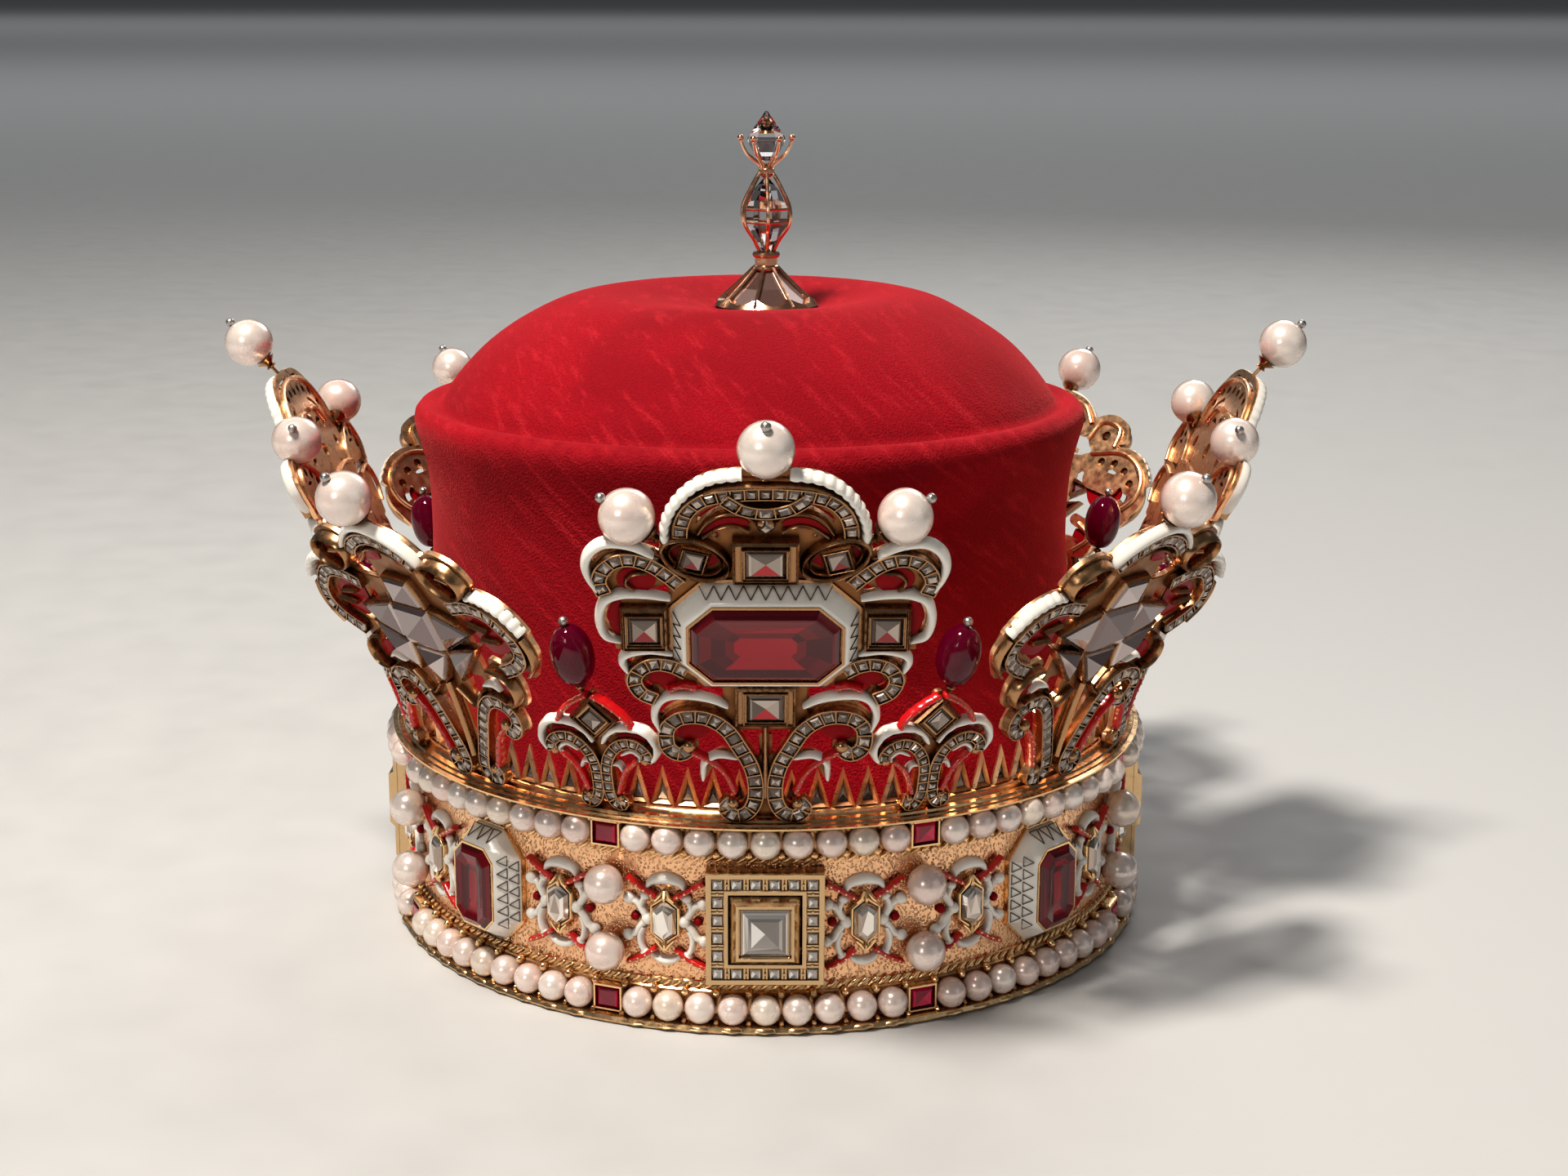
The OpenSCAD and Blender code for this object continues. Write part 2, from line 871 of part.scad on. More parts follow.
circlet();
velvet_cap();
finial();
finial_knop();
finial_tip();
pearl_row(upper_row_z);  // upper_pearls
pearl_row(lower_row_z);  // lower_pearls
rim_rubies();
band_pearls();
band_crystals();
ruby_beads();
palmette_pearls();
for (k = [1 : 4]) {
    around(90 * (k - 1)) diamond_plaque();
    around(90 * (k - 1)) plaque_diamond();
    around(90 * k - 45) ruby_setting();
    around(90 * k - 45) band_ruby();
    around(90 * (k - 1)) palmette_ruby();
    around(90 * k - 45) palmette_crystals();
}
for (k = [1 : 8]) {
    around(minor_angle(k)) band_scrolls();
    palmette(k);
    minor_palmette(k);
}
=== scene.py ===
# %% [markdown]
# # A jewelled crown, dressed in Blender
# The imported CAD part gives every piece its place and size. This script adds what CAD leaves
# out: chased gold, channel set stones, enamel, red glass, pearl lustre and brushed velvet.
# All lengths below are in millimetres and are turned into metres when a mesh is made.

# %% Start
import math
import bmesh
import bpy
import numpy as np
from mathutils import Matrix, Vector


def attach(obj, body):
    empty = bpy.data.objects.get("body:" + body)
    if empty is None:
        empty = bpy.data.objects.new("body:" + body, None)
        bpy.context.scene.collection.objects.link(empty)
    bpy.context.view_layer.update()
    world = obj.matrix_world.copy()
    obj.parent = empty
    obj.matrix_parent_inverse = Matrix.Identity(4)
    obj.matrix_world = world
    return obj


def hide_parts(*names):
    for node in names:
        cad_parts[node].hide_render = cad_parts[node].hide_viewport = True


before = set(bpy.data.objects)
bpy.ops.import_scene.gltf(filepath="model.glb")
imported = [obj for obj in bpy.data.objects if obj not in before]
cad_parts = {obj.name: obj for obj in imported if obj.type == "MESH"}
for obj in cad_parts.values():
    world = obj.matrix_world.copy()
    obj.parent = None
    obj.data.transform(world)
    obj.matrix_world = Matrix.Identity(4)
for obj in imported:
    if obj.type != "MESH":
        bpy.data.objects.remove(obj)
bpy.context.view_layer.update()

# %% [markdown]
# ## Meshes from small parts
# A jewel is hundreds of tiny closed shapes. Making one Blender object for each would be slow,
# so a `Soup` gathers vertices and faces in plain lists and becomes one mesh at the end.

# %% The soup
class Soup:
    def __init__(self):
        self.verts = []
        self.faces = []
        self.kinds = []
        self.round = []
        self.count = 0

    def add(self, verts, faces, kind=0, smooth=True):
        base = self.count
        self.verts.append(np.asarray(verts, float))
        self.faces += [tuple(base + i for i in f) for f in faces]
        self.kinds += [kind] * len(faces)
        self.round += [smooth] * len(faces)
        self.count += len(verts)

    def join(self, other, placed=None):
        base = self.count
        points = np.vstack(other.verts)
        self.verts.append(placed(points) if placed else points)
        self.faces += [tuple(base + i for i in f) for f in other.faces]
        self.kinds += other.kinds
        self.round += other.round
        self.count += other.count

    def build(self, name, materials, slot, replaced=(), sharp=35):
        mesh = bpy.data.meshes.new(name)
        points = np.vstack(self.verts) * 0.001
        mesh.from_pydata(points.tolist(), [], self.faces)
        mesh.polygons.foreach_set("material_index", self.kinds)
        mesh.polygons.foreach_set("use_smooth", self.round)
        for material in materials:
            mesh.materials.append(material)
        mesh.validate()
        shell = bmesh.new()
        shell.from_mesh(mesh)
        bmesh.ops.recalc_face_normals(shell, faces=shell.faces)
        shell.to_mesh(mesh)
        shell.free()
        mesh.set_sharp_from_angle(angle=math.radians(sharp))
        piece = bpy.data.objects.new(name, mesh)
        bpy.context.scene.collection.objects.link(piece)
        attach(piece, "root")
        if replaced:
            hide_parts(*replaced)
        mesh.calc_loop_triangles()
        tally[name] = len(mesh.loop_triangles)
        return piece


tally = {}

# %% [markdown]
# ## Three ways to bend flat work
# Ornament is designed flat, with `u` across, `s` upwards and `n` out of the sheet, as a
# goldsmith lays it out. A map then bends it: onto the leaning curved sheet of a palmette, or
# around the band. These are the same curves as in the CAD source, so both fit together.

# %% Maps
def turned(points, degrees):
    a = math.radians(degrees)
    x = points[:, 0] * math.cos(a) - points[:, 1] * math.sin(a)
    y = points[:, 0] * math.sin(a) + points[:, 1] * math.cos(a)
    return np.column_stack([x, y, points[:, 2]])


def plate_map(lean, length, sag):
    radius = length * length / (8 * sag) + sag / 2
    a = math.radians(lean)

    def place(points):
        u, s, n = points[:, 0], points[:, 1], points[:, 2]
        t = (s - length / 2) / radius
        y = length / 2 + (radius - n) * np.sin(t)
        z = radius - sag - (radius - n) * np.cos(t)
        out = y * math.sin(a) + z * math.cos(a)
        up = y * math.cos(a) - z * math.sin(a)
        return np.column_stack([u, -94 - out, 49.6 + up])

    return place


def chord_map(lean):
    """Straight frame of a palmette: u across, s along its chord, n outwards from the chord."""
    a = math.radians(lean)

    def place(points):
        u, s, n = points[:, 0], points[:, 1], points[:, 2]
        out = s * math.sin(a) + n * math.cos(a)
        up = s * math.cos(a) - n * math.sin(a)
        return np.column_stack([u, -94 - out, 49.6 + up])

    return place


def band_map(radius, height):
    def place(points):
        t = points[:, 0] / radius
        r = radius + points[:, 2]
        return np.column_stack([r * np.sin(t), -r * np.cos(t), height + points[:, 1]])

    return place


main_map = plate_map(19.68, 94.5, 3.72)
side_map = plate_map(26.24, 83.6, 4.42)
minor_map = plate_map(14.5, 29.9, 0.42)
main_chord = chord_map(19.68)
side_chord = chord_map(26.24)
minor_chord = chord_map(14.5)
WALL = 93.5
MID = 26.15
on_band = band_map(WALL, MID)

# %% [markdown]
# ## Paths and strips
# A few points read off the photograph are joined by a Catmull-Rom curve, which passes through
# all of them. `strip` then draws a cross-section along the curve, in the flat, and can swell
# or thin it on the way. This is how wire, channels and enamel ridges are all made.

# %% Curves and sweeps
def curve(points, step=0.7, closed=False):
    p = np.asarray(points, float)
    if closed:
        ends = np.vstack([p[-1:], p, p[:2]])
    else:
        ends = np.vstack([2 * p[:1] - p[1:2], p, 2 * p[-1:] - p[-2:-1]])
    out = []
    for i in range(1, len(ends) - 2):
        a, b, c, d = ends[i - 1 : i + 3]
        for t in np.linspace(0, 1, 12, endpoint=False):
            out.append(
                0.5 * (2 * b + (c - a) * t + (2 * a - 5 * b + 4 * c - d) * t * t
                       + (3 * b - a - 3 * c + d) * t ** 3)
            )
    out.append(ends[-2])
    out = np.array(out)
    walk = np.concatenate([[0], np.cumsum(np.linalg.norm(np.diff(out, axis=0), axis=1))])
    count = max(3, int(round(walk[-1] / step)) + 1)
    even = np.linspace(0, walk[-1], count)
    line = np.column_stack([np.interp(even, walk, out[:, k]) for k in range(out.shape[1])])
    return line[:-1] if closed else line


def mirrored(points):
    return [(-u, s) for u, s in points]


def both(points):
    return [points, mirrored(points)]


def across(points):
    """Whole path from left to right, of a right half listed from its outer end to the middle."""
    right = list(points)
    return [(-u, s) for u, s in right if abs(u) > 0.01] + list(reversed(right))


def sides(line, closed=False):
    if closed:
        tangent = np.roll(line, -1, axis=0) - np.roll(line, 1, axis=0)
    else:
        tangent = np.gradient(line, axis=0)
    tangent /= np.linalg.norm(tangent, axis=1)[:, None] + 1e-9
    return tangent, np.column_stack([-tangent[:, 1], tangent[:, 0]])


def skin(rings, closed=False, caps=True):
    count = len(rings)
    size = len(rings[0])
    verts = np.vstack(rings)
    faces = []
    for i in range(count if closed else count - 1):
        a = i * size
        b = ((i + 1) % count) * size
        for j in range(size):
            k = (j + 1) % size
            faces.append((a + j, b + j, b + k, a + k))
    if caps and not closed:
        faces.append(tuple(range(size)))
        faces.append(tuple(reversed(range((count - 1) * size, count * size))))
    return verts, faces


def strip(line, section, wide=1.0, tall=1.0, closed=False):
    tangent, side = sides(line, closed)
    wide = np.broadcast_to(wide, len(line))
    tall = np.broadcast_to(tall, len(line))
    rings = []
    for p, w, x, y in zip(line, side, wide, tall):
        rings.append([(p[0] + a * x * w[0], p[1] + a * x * w[1], n * y) for a, n in section])
    return skin(np.array(rings), closed)


def rounded(width, low, high, count=7):
    """Half round section that stands on a flat foot."""
    turn = np.linspace(0, math.pi, count)
    top = [(width / 2 * math.cos(t), low + (high - low) * math.sin(t)) for t in turn]
    return [(width / 2, low - 0.6)] + top + [(-width / 2, low - 0.6)]


def trough(width, rim, floor, top, low=0.0):
    """Section of a channel: two thin rims and a floor for the stones between them."""
    h = width / 2
    return [(h, low), (h, top - 0.12), (h - 0.12, top), (h - rim, top), (h - rim, floor),
            (-h + rim, floor), (-h + rim, top), (-h + 0.12, top), (-h, top - 0.12), (-h, low)]


def taper(line, ends=0.35, power=0.6):
    t = np.linspace(0, math.pi, len(line))
    return ends + (1 - ends) * np.sin(t) ** power


def scallop(line, pitch, depth):
    walk = np.concatenate([[0], np.cumsum(np.linalg.norm(np.diff(line, axis=0), axis=1))])
    return 1 - depth + depth * np.abs(np.sin(math.pi * walk / pitch)) ** 0.7


def oblong(w, h, c=0.0):
    if c <= 0:
        return [(-w / 2, -h / 2), (w / 2, -h / 2), (w / 2, h / 2), (-w / 2, h / 2)]
    return [(-w / 2 + c, -h / 2), (w / 2 - c, -h / 2), (w / 2, -h / 2 + c), (w / 2, h / 2 - c),
            (w / 2 - c, h / 2), (-w / 2 + c, h / 2), (-w / 2, h / 2 - c), (-w / 2, -h / 2 + c)]


def loft(levels, at=(0, 0), turn=0.0):
    """Closed solid through outlines of equal count, each at its own height n."""
    a = math.radians(turn)
    rings = []
    for outline, n in levels:
        rings.append([(at[0] + x * math.cos(a) - y * math.sin(a),
                       at[1] + x * math.sin(a) + y * math.cos(a), n) for x, y in outline])
    return skin(np.array(rings))


def frame_levels(outer, inner, low, high, floor):
    """Frame with a bevelled edge, a groove and a raised lip around a sunk floor."""
    ow, oh = outer
    iw, ih = inner
    return [(oblong(ow, oh), low), (oblong(ow, oh), high - 1.1), (oblong(ow - 0.9, oh - 0.9), high - 0.5),
            (oblong(ow - 1.3, oh - 1.3), high - 1.0), (oblong(iw + 0.8, ih + 0.8), high - 1.0),
            (oblong(iw + 0.6, ih + 0.6), high - 0.15), (oblong(iw + 0.3, ih + 0.3), high),
            (oblong(iw, ih), high - 0.15), (oblong(iw, ih), floor)]


def gem_levels(w, h, base, rise, c=0.0, table=0.5, step=0.6):
    """Stone with a girdle, two rows of sloping facets and a flat table."""
    mid = 1 - (1 - table) * step
    return [(oblong(w, h, c), base), (oblong(w, h, c), base + rise * 0.25),
            (oblong(w * mid, h * mid, c * mid), base + rise * 0.75),
            (oblong(w * table, h * table, c * table), base + rise)]


def ball(centre, radius, rings=8, segs=12, stretch=(1, 1, 1)):
    verts = [(0, 0, -1)]
    for i in range(1, rings):
        p = math.pi * i / rings
        for j in range(segs):
            q = 2 * math.pi * j / segs
            verts.append((math.sin(p) * math.cos(q), math.sin(p) * math.sin(q), -math.cos(p)))
    verts.append((0, 0, 1))
    faces = []
    for j in range(segs):
        k = (j + 1) % segs
        faces.append((0, 1 + k, 1 + j))
        for i in range(rings - 2):
            a = 1 + i * segs
            faces.append((a + j, a + k, a + segs + k, a + segs + j))
        last = 1 + (rings - 2) * segs
        faces.append((last + j, last + k, len(verts) - 1))
    verts = np.array(verts) * radius * np.array(stretch) + np.array(centre)
    return verts, faces


def tube(points, radius, segs=8, closed=False):
    """Round wire along a path in space."""
    p = np.asarray(points, float)
    radius = np.broadcast_to(radius, len(p))
    tangent = np.roll(p, -1, axis=0) - np.roll(p, 1, axis=0) if closed else np.gradient(p, axis=0)
    tangent /= np.linalg.norm(tangent, axis=1)[:, None] + 1e-9
    up = np.array([0.0, 0.0, 1.0]) if abs(tangent[0][2]) < 0.9 else np.array([1.0, 0.0, 0.0])
    rings = []
    for point, t, r in zip(p, tangent, radius):
        side = np.cross(t, up)
        side /= np.linalg.norm(side) + 1e-9
        up = np.cross(side, t)
        ring = [point + r * (math.cos(a) * side + math.sin(a) * up)
                for a in np.linspace(0, 2 * math.pi, segs, endpoint=False)]
        rings.append(ring)
    return skin(np.array(rings), closed)


def lathe(profile, segs=240, closed=True):
    """Profile of (radius, height) turned around the axis of the crown."""
    rings = []
    for j in range(segs):
        t = 2 * math.pi * j / segs
        rings.append([(r * math.sin(t), -r * math.cos(t), z) for r, z in profile])
    size = len(profile)
    verts = np.vstack(rings)
    faces = []
    for j in range(segs):
        a = j * size
        b = ((j + 1) % segs) * size
        for i in range(size if closed else size - 1):
            k = (i + 1) % size
            faces.append((a + i, b + i, b + k, a + k))
    return verts, faces

# %% [markdown]
# ## Pierced sheets
# The sheet behind each palmette is cut from its own ornament: every point closer to a wire or
# a setting than its half width belongs to the sheet. Marching squares turns that distance
# field into a mesh with smooth edges that is fine enough to be bent afterwards.

# %% Distance field sheets
def path_distance(px, py, line):
    best = np.full(px.shape, 1e9)
    for (ax, ay), (bx, by) in zip(line[:-1], line[1:]):
        dx, dy = bx - ax, by - ay
        t = np.clip(((px - ax) * dx + (py - ay) * dy) / (dx * dx + dy * dy + 1e-9), 0, 1)
        best = np.minimum(best, np.hypot(px - ax - t * dx, py - ay - t * dy))
    return best


def field(px, py, paths, boxes=(), discs=(), holes=()):
    d = np.full(px.shape, 1e9)
    for line, half in paths:
        d = np.minimum(d, path_distance(px, py, line) - half)
    for cx, cy, w, h in boxes:
        d = np.minimum(d, np.maximum(np.abs(px - cx) - w / 2, np.abs(py - cy) - h / 2))
    for cx, cy, r in discs:
        d = np.minimum(d, np.hypot(px - cx, py - cy) - r)
    for cx, cy, r in holes:
        d = np.maximum(d, r - np.hypot(px - cx, py - cy))
    return d


def sheet_mesh(reach, cell, back, front, **shapes):
    u0, u1, s0, s1 = reach
    us = np.arange(u0, u1 + cell, cell)
    ss = np.arange(s0, s1 + cell, cell)
    px, py = np.meshgrid(us, ss, indexing="ij")
    d = field(px, py, **shapes)
    d[np.abs(d) < 1e-3] = -1e-3
    made = {}
    points = []
    faces = []
    edges = []

    def corner(i, j):
        key = (i, j)
        if key not in made:
            made[key] = len(points)
            points.append((us[i], ss[j], front))
        return made[key]

    def crossing(a, b):
        key = (min(a, b), max(a, b))
        if key not in made:
            t = d[a] / (d[a] - d[b])
            made[key] = len(points)
            points.append((us[a[0]] + t * (us[b[0]] - us[a[0]]),
                           ss[a[1]] + t * (ss[b[1]] - ss[a[1]]), front - 0.25))
        return made[key]

    for i in range(len(us) - 1):
        for j in range(len(ss) - 1):
            ring = [(i, j), (i + 1, j), (i + 1, j + 1), (i, j + 1)]
            inside = [d[c] < 0 for c in ring]
            if not any(inside):
                continue
            poly = []
            for k in range(4):
                a, b = ring[k], ring[(k + 1) % 4]
                if inside[k]:
                    poly.append((corner(*a), False))
                if inside[k] != inside[(k + 1) % 4]:
                    poly.append((crossing(a, b), inside[k]))
            if len(poly) >= 3:
                faces.append(tuple(p for p, _ in poly))
                for k, (p, leaving) in enumerate(poly):
                    if leaving:
                        edges.append((p, poly[(k + 1) % len(poly)][0]))
    size = len(points)
    top = np.array(points)
    low = top.copy()
    low[:, 2] = back
    faces += [tuple(size + i for i in reversed(f)) for f in list(faces)]
    faces += [(b, a, size + a, size + b) for a, b in edges]
    return np.vstack([top, low]), faces

# %% [markdown]
# ## Effects as node groups
# Wear on raised edges, painted shade in hollows, fine grain and painted glints on single facets are wanted
# in more than one material. Each is a node group with named inputs, so a material only says
# how much of it it takes. The groups give masks and values; the shader stays in the material.

# %% Node group tools
def group(name, inputs, outputs):
    tree = bpy.data.node_groups.new(name, "ShaderNodeTree")
    for title, kind, value in inputs:
        sock = tree.interface.new_socket(title, in_out="INPUT", socket_type="NodeSocket" + kind)
        sock.default_value = value
    for title, kind in outputs:
        tree.interface.new_socket(title, in_out="OUTPUT", socket_type="NodeSocket" + kind)
    return tree, tree.nodes.new("NodeGroupInput"), tree.nodes.new("NodeGroupOutput")


def node(tree, kind, **settings):
    made = tree.nodes.new("ShaderNode" + kind)
    for key, value in settings.items():
        setattr(made, key, value)
    return made


def maths(tree, what, a, b=None):
    made = node(tree, "Math", operation=what)
    for sock, value in zip(made.inputs, (a, b)):
        if value is None:
            continue
        if isinstance(value, (int, float)):
            sock.default_value = value
        else:
            tree.links.new(value, sock)
    return made.outputs[0]


def ramp(tree, value, low, high, out_low=0.0, out_high=1.0):
    made = node(tree, "MapRange", interpolation_type="SMOOTHSTEP")
    tree.links.new(value, made.inputs["Value"])
    made.inputs["From Min"].default_value = low
    made.inputs["From Max"].default_value = high
    made.inputs["To Min"].default_value = out_low
    made.inputs["To Max"].default_value = out_high
    return made.outputs["Result"]


def blend_colours(tree, amount, a, b, kind="MIX"):
    made = node(tree, "Mix", data_type="RGBA", blend_type=kind)
    for sock, value in ((made.inputs[0], amount), (made.inputs[6], a), (made.inputs[7], b)):
        if isinstance(value, (int, float)):
            sock.default_value = value
        elif isinstance(value, (tuple, list)):
            sock.default_value = (*value, 1) if len(value) == 3 else value
        else:
            tree.links.new(value, sock)
    return made.outputs[2]


# %% The groups
# Painted shade: a mask that is high in hollows and corners, found by ambient occlusion.
def make_hollow_shade():
    tree, given, gives = group("Painted hollow shade", [("Distance", "Float", 0.003), ("Amount", "Float", 1.0)],
                               [("Mask", "Float")])
    shade = node(tree, "AmbientOcclusion", samples=6)
    tree.links.new(given.outputs["Distance"], shade.inputs["Distance"])
    deep = ramp(tree, shade.outputs["AO"], 0.25, 0.95, 1.0, 0.0)
    tree.links.new(maths(tree, "MULTIPLY", deep, given.outputs["Amount"]), gives.inputs["Mask"])
    return tree


def make_edges():
    tree, given, gives = group("Edge wear", [("Amount", "Float", 1.0), ("Scale", "Float", 900.0)],
                               [("Mask", "Float")])
    geo = node(tree, "NewGeometry")
    noise = node(tree, "TexNoise")
    coord = node(tree, "TexCoord")
    tree.links.new(coord.outputs["Object"], noise.inputs["Vector"])
    tree.links.new(given.outputs["Scale"], noise.inputs["Scale"])
    edge = ramp(tree, geo.outputs["Pointiness"], 0.5, 0.6)
    broken = ramp(tree, noise.outputs["Fac"], 0.3, 0.6)
    both_ways = maths(tree, "MULTIPLY", edge, broken)
    tree.links.new(maths(tree, "MULTIPLY", both_ways, given.outputs["Amount"]), gives.inputs["Mask"])
    return tree


def make_grain():
    tree, given, gives = group(
        "Grain", [("Scale", "Float", 700.0), ("Detail", "Float", 3.0), ("Low", "Float", 0.2),
                  ("High", "Float", 0.4)], [("Roughness", "Float"), ("Height", "Float")])
    coord = node(tree, "TexCoord")
    noise = node(tree, "TexNoise")
    tree.links.new(coord.outputs["Object"], noise.inputs["Vector"])
    tree.links.new(given.outputs["Scale"], noise.inputs["Scale"])
    tree.links.new(given.outputs["Detail"], noise.inputs["Detail"])
    span = node(tree, "MapRange")
    tree.links.new(noise.outputs["Fac"], span.inputs["Value"])
    span.inputs["From Min"].default_value = 0.3
    span.inputs["From Max"].default_value = 0.7
    tree.links.new(given.outputs["Low"], span.inputs["To Min"])
    tree.links.new(given.outputs["High"], span.inputs["To Max"])
    tree.links.new(span.outputs["Result"], gives.inputs["Roughness"])
    tree.links.new(noise.outputs["Fac"], gives.inputs["Height"])
    return tree


def make_punched():
    """Punched ground of the band: small round cells of a matting tool."""
    tree, given, gives = group("Punched ground", [("Scale", "Float", 1300.0), ("Depth", "Float", 1.0)],
                               [("Height", "Float"), ("Pit", "Float")])
    coord = node(tree, "TexCoord")
    cells = node(tree, "TexVoronoi")
    tree.links.new(coord.outputs["Object"], cells.inputs["Vector"])
    tree.links.new(given.outputs["Scale"], cells.inputs["Scale"])
    pit = ramp(tree, cells.outputs["Distance"], 0.05, 0.55)
    tree.links.new(maths(tree, "MULTIPLY", pit, given.outputs["Depth"]), gives.inputs["Height"])
    tree.links.new(maths(tree, "SUBTRACT", 1.0, pit), gives.inputs["Pit"])
    return tree


def make_facet_glints():
    """One random value for each flat facet, found from the direction it faces; it paints facets brighter or
    darker as painted glints.
    """
    tree, given, gives = group("Painted facet glints", [("Low", "Float", 0.2), ("High", "Float", 1.0)],
                               [("Value", "Float")])
    geo = node(tree, "NewGeometry")
    snap = node(tree, "VectorMath", operation="SNAP")
    tree.links.new(geo.outputs["True Normal"], snap.inputs[0])
    snap.inputs[1].default_value = (0.06, 0.06, 0.06)
    white = node(tree, "TexWhiteNoise", noise_dimensions="3D")
    tree.links.new(snap.outputs["Vector"], white.inputs["Vector"])
    span = node(tree, "MapRange")
    tree.links.new(white.outputs["Value"], span.inputs["Value"])
    tree.links.new(given.outputs["Low"], span.inputs["To Min"])
    tree.links.new(given.outputs["High"], span.inputs["To Max"])
    tree.links.new(span.outputs["Result"], gives.inputs["Value"])
    return tree


def make_pile():
    """Brushed velvet: long soft strokes that run aslant, and broad patches where it was touched."""
    tree, given, gives = group(
        "Brushed pile", [("Stroke scale", "Float", 60.0), ("Patch scale", "Float", 14.0),
                         ("Slant", "Float", 0.7)], [("Stroke", "Float"), ("Patch", "Float"),
                                                    ("Nap", "Float")])
    coord = node(tree, "TexCoord")
    turn = node(tree, "VectorRotate", rotation_type="Y_AXIS")
    tree.links.new(coord.outputs["Object"], turn.inputs["Vector"])
    tree.links.new(given.outputs["Slant"], turn.inputs["Angle"])
    squeeze = node(tree, "VectorMath", operation="MULTIPLY")
    tree.links.new(turn.outputs["Vector"], squeeze.inputs[0])
    squeeze.inputs[1].default_value = (0.2, 0.6, 2.4)
    stroke = node(tree, "TexNoise")
    tree.links.new(squeeze.outputs["Vector"], stroke.inputs["Vector"])
    tree.links.new(given.outputs["Stroke scale"], stroke.inputs["Scale"])
    stroke.inputs["Detail"].default_value = 5
    stroke.inputs["Roughness"].default_value = 0.6
    patch = node(tree, "TexNoise")
    tree.links.new(coord.outputs["Object"], patch.inputs["Vector"])
    tree.links.new(given.outputs["Patch scale"], patch.inputs["Scale"])
    patch.inputs["Detail"].default_value = 2
    patch.inputs["Distortion"].default_value = 0.6
    nap = node(tree, "TexNoise")
    tree.links.new(coord.outputs["Object"], nap.inputs["Vector"])
    nap.inputs["Scale"].default_value = 1900
    nap.inputs["Detail"].default_value = 1
    tree.links.new(stroke.outputs["Fac"], gives.inputs["Stroke"])
    tree.links.new(patch.outputs["Fac"], gives.inputs["Patch"])
    tree.links.new(nap.outputs["Fac"], gives.inputs["Nap"])
    return tree


HOLLOW_SHADE = make_hollow_shade()
EDGES = make_edges()
GRAIN = make_grain()
PUNCHED = make_punched()
FACET_GLINTS = make_facet_glints()
PILE = make_pile()
print("groups", [g.name for g in bpy.data.node_groups])

# %% [markdown]
# ## Materials
# Each material is a Principled shader fed by the groups. Gold is one warm metal in several
# tones and finishes, two of them darkened as painted shade; enamel is a coated colour. Most stones are drawn
# as if foiled, that is mirrored from behind as jewellers do it, because a clear stone over a dark floor goes
# flat; their facets carry painted glints.
# Only the ruby beads and the crystals of the finial are clear.

# %% Material tools
def material(name):
    made = bpy.data.materials.new(name)
    made.use_nodes = True
    tree = made.node_tree
    shader = tree.nodes["Principled BSDF"]
    return made, tree, shader


def use(tree, shared, **values):
    made = node(tree, "Group")
    made.node_tree = shared
    for key, value in values.items():
        made.inputs[key.replace("_", " ")].default_value = value
    return made


def bump(tree, shader, height, strength, distance):
    made = node(tree, "Bump")
    made.inputs["Strength"].default_value = strength
    made.inputs["Distance"].default_value = distance
    tree.links.new(height, made.inputs["Height"])
    tree.links.new(made.outputs["Normal"], shader.inputs["Normal"])


def gold(name, bright, dark, low, high, punched=0.0, hollow=0.85, reach=0.0025):
    made, tree, shader = material(name)
    shader.inputs["Metallic"].default_value = 1
    # Painted shade: in hollows the colour goes towards the dark one.
    shade = use(tree, HOLLOW_SHADE, Distance=reach, Amount=hollow)
    worn = use(tree, EDGES, Amount=0.5)
    grain = use(tree, GRAIN, Scale=420, Low=low, High=high)
    base = blend_colours(tree, shade.outputs["Mask"], bright, dark)
    tint = tuple(min(1, c * 1.12) for c in bright)
    base = blend_colours(tree, worn.outputs["Mask"], base, tint)
    height = grain.outputs["Height"]
    if punched:
        cells = use(tree, PUNCHED, Scale=1500, Depth=1.0)
        # The pits are darkened a little as well: painted shade in the pits.
        base = blend_colours(tree, maths(tree, "MULTIPLY", cells.outputs["Pit"], 0.12), base, dark)
        height = cells.outputs["Height"]
    tree.links.new(base, shader.inputs["Base Color"])
    tree.links.new(grain.outputs["Roughness"], shader.inputs["Roughness"])
    bump(tree, shader, height, 0.5 if punched else 0.15, 0.0004)
    return made


def enamel(name, colour, deep, coat=1.0, shine=0.5):
    made, tree, shader = material(name)
    # Painted shade: in hollows the colour goes towards the deep one.
    shade = use(tree, HOLLOW_SHADE, Distance=0.002, Amount=0.7)
    grain = use(tree, GRAIN, Scale=260, Low=0.16, High=0.3)
    base = blend_colours(tree, shade.outputs["Mask"], colour, deep)
    tree.links.new(base, shader.inputs["Base Color"])
    tree.links.new(grain.outputs["Roughness"], shader.inputs["Roughness"])
    shader.inputs["Coat Weight"].default_value = coat
    shader.inputs["Coat Roughness"].default_value = 0.06
    shader.inputs["Specular IOR Level"].default_value = shine
    bump(tree, shader, grain.outputs["Height"], 0.25, 0.0003)
    return made


def foiled(name, dark, bright, rough=0.06, metal=0.7, coat=1.0):
    made, tree, shader = material(name)
    # Painted glints: each facet takes its own mix of the dark and the bright colour.
    glint_value = use(tree, FACET_GLINTS, Low=0.0, High=1.0)
    share = ramp(tree, glint_value.outputs["Value"], 0.2, 0.8)
    base = blend_colours(tree, share, dark, bright)
    tree.links.new(base, shader.inputs["Base Color"])
    shader.inputs["Metallic"].default_value = metal
    grain = use(tree, GRAIN, Scale=900, Low=rough, High=rough * 2)
    tree.links.new(grain.outputs["Roughness"], shader.inputs["Roughness"])
    shader.inputs["Coat Weight"].default_value = coat
    shader.inputs["Coat Roughness"].default_value = 0.02
    return made


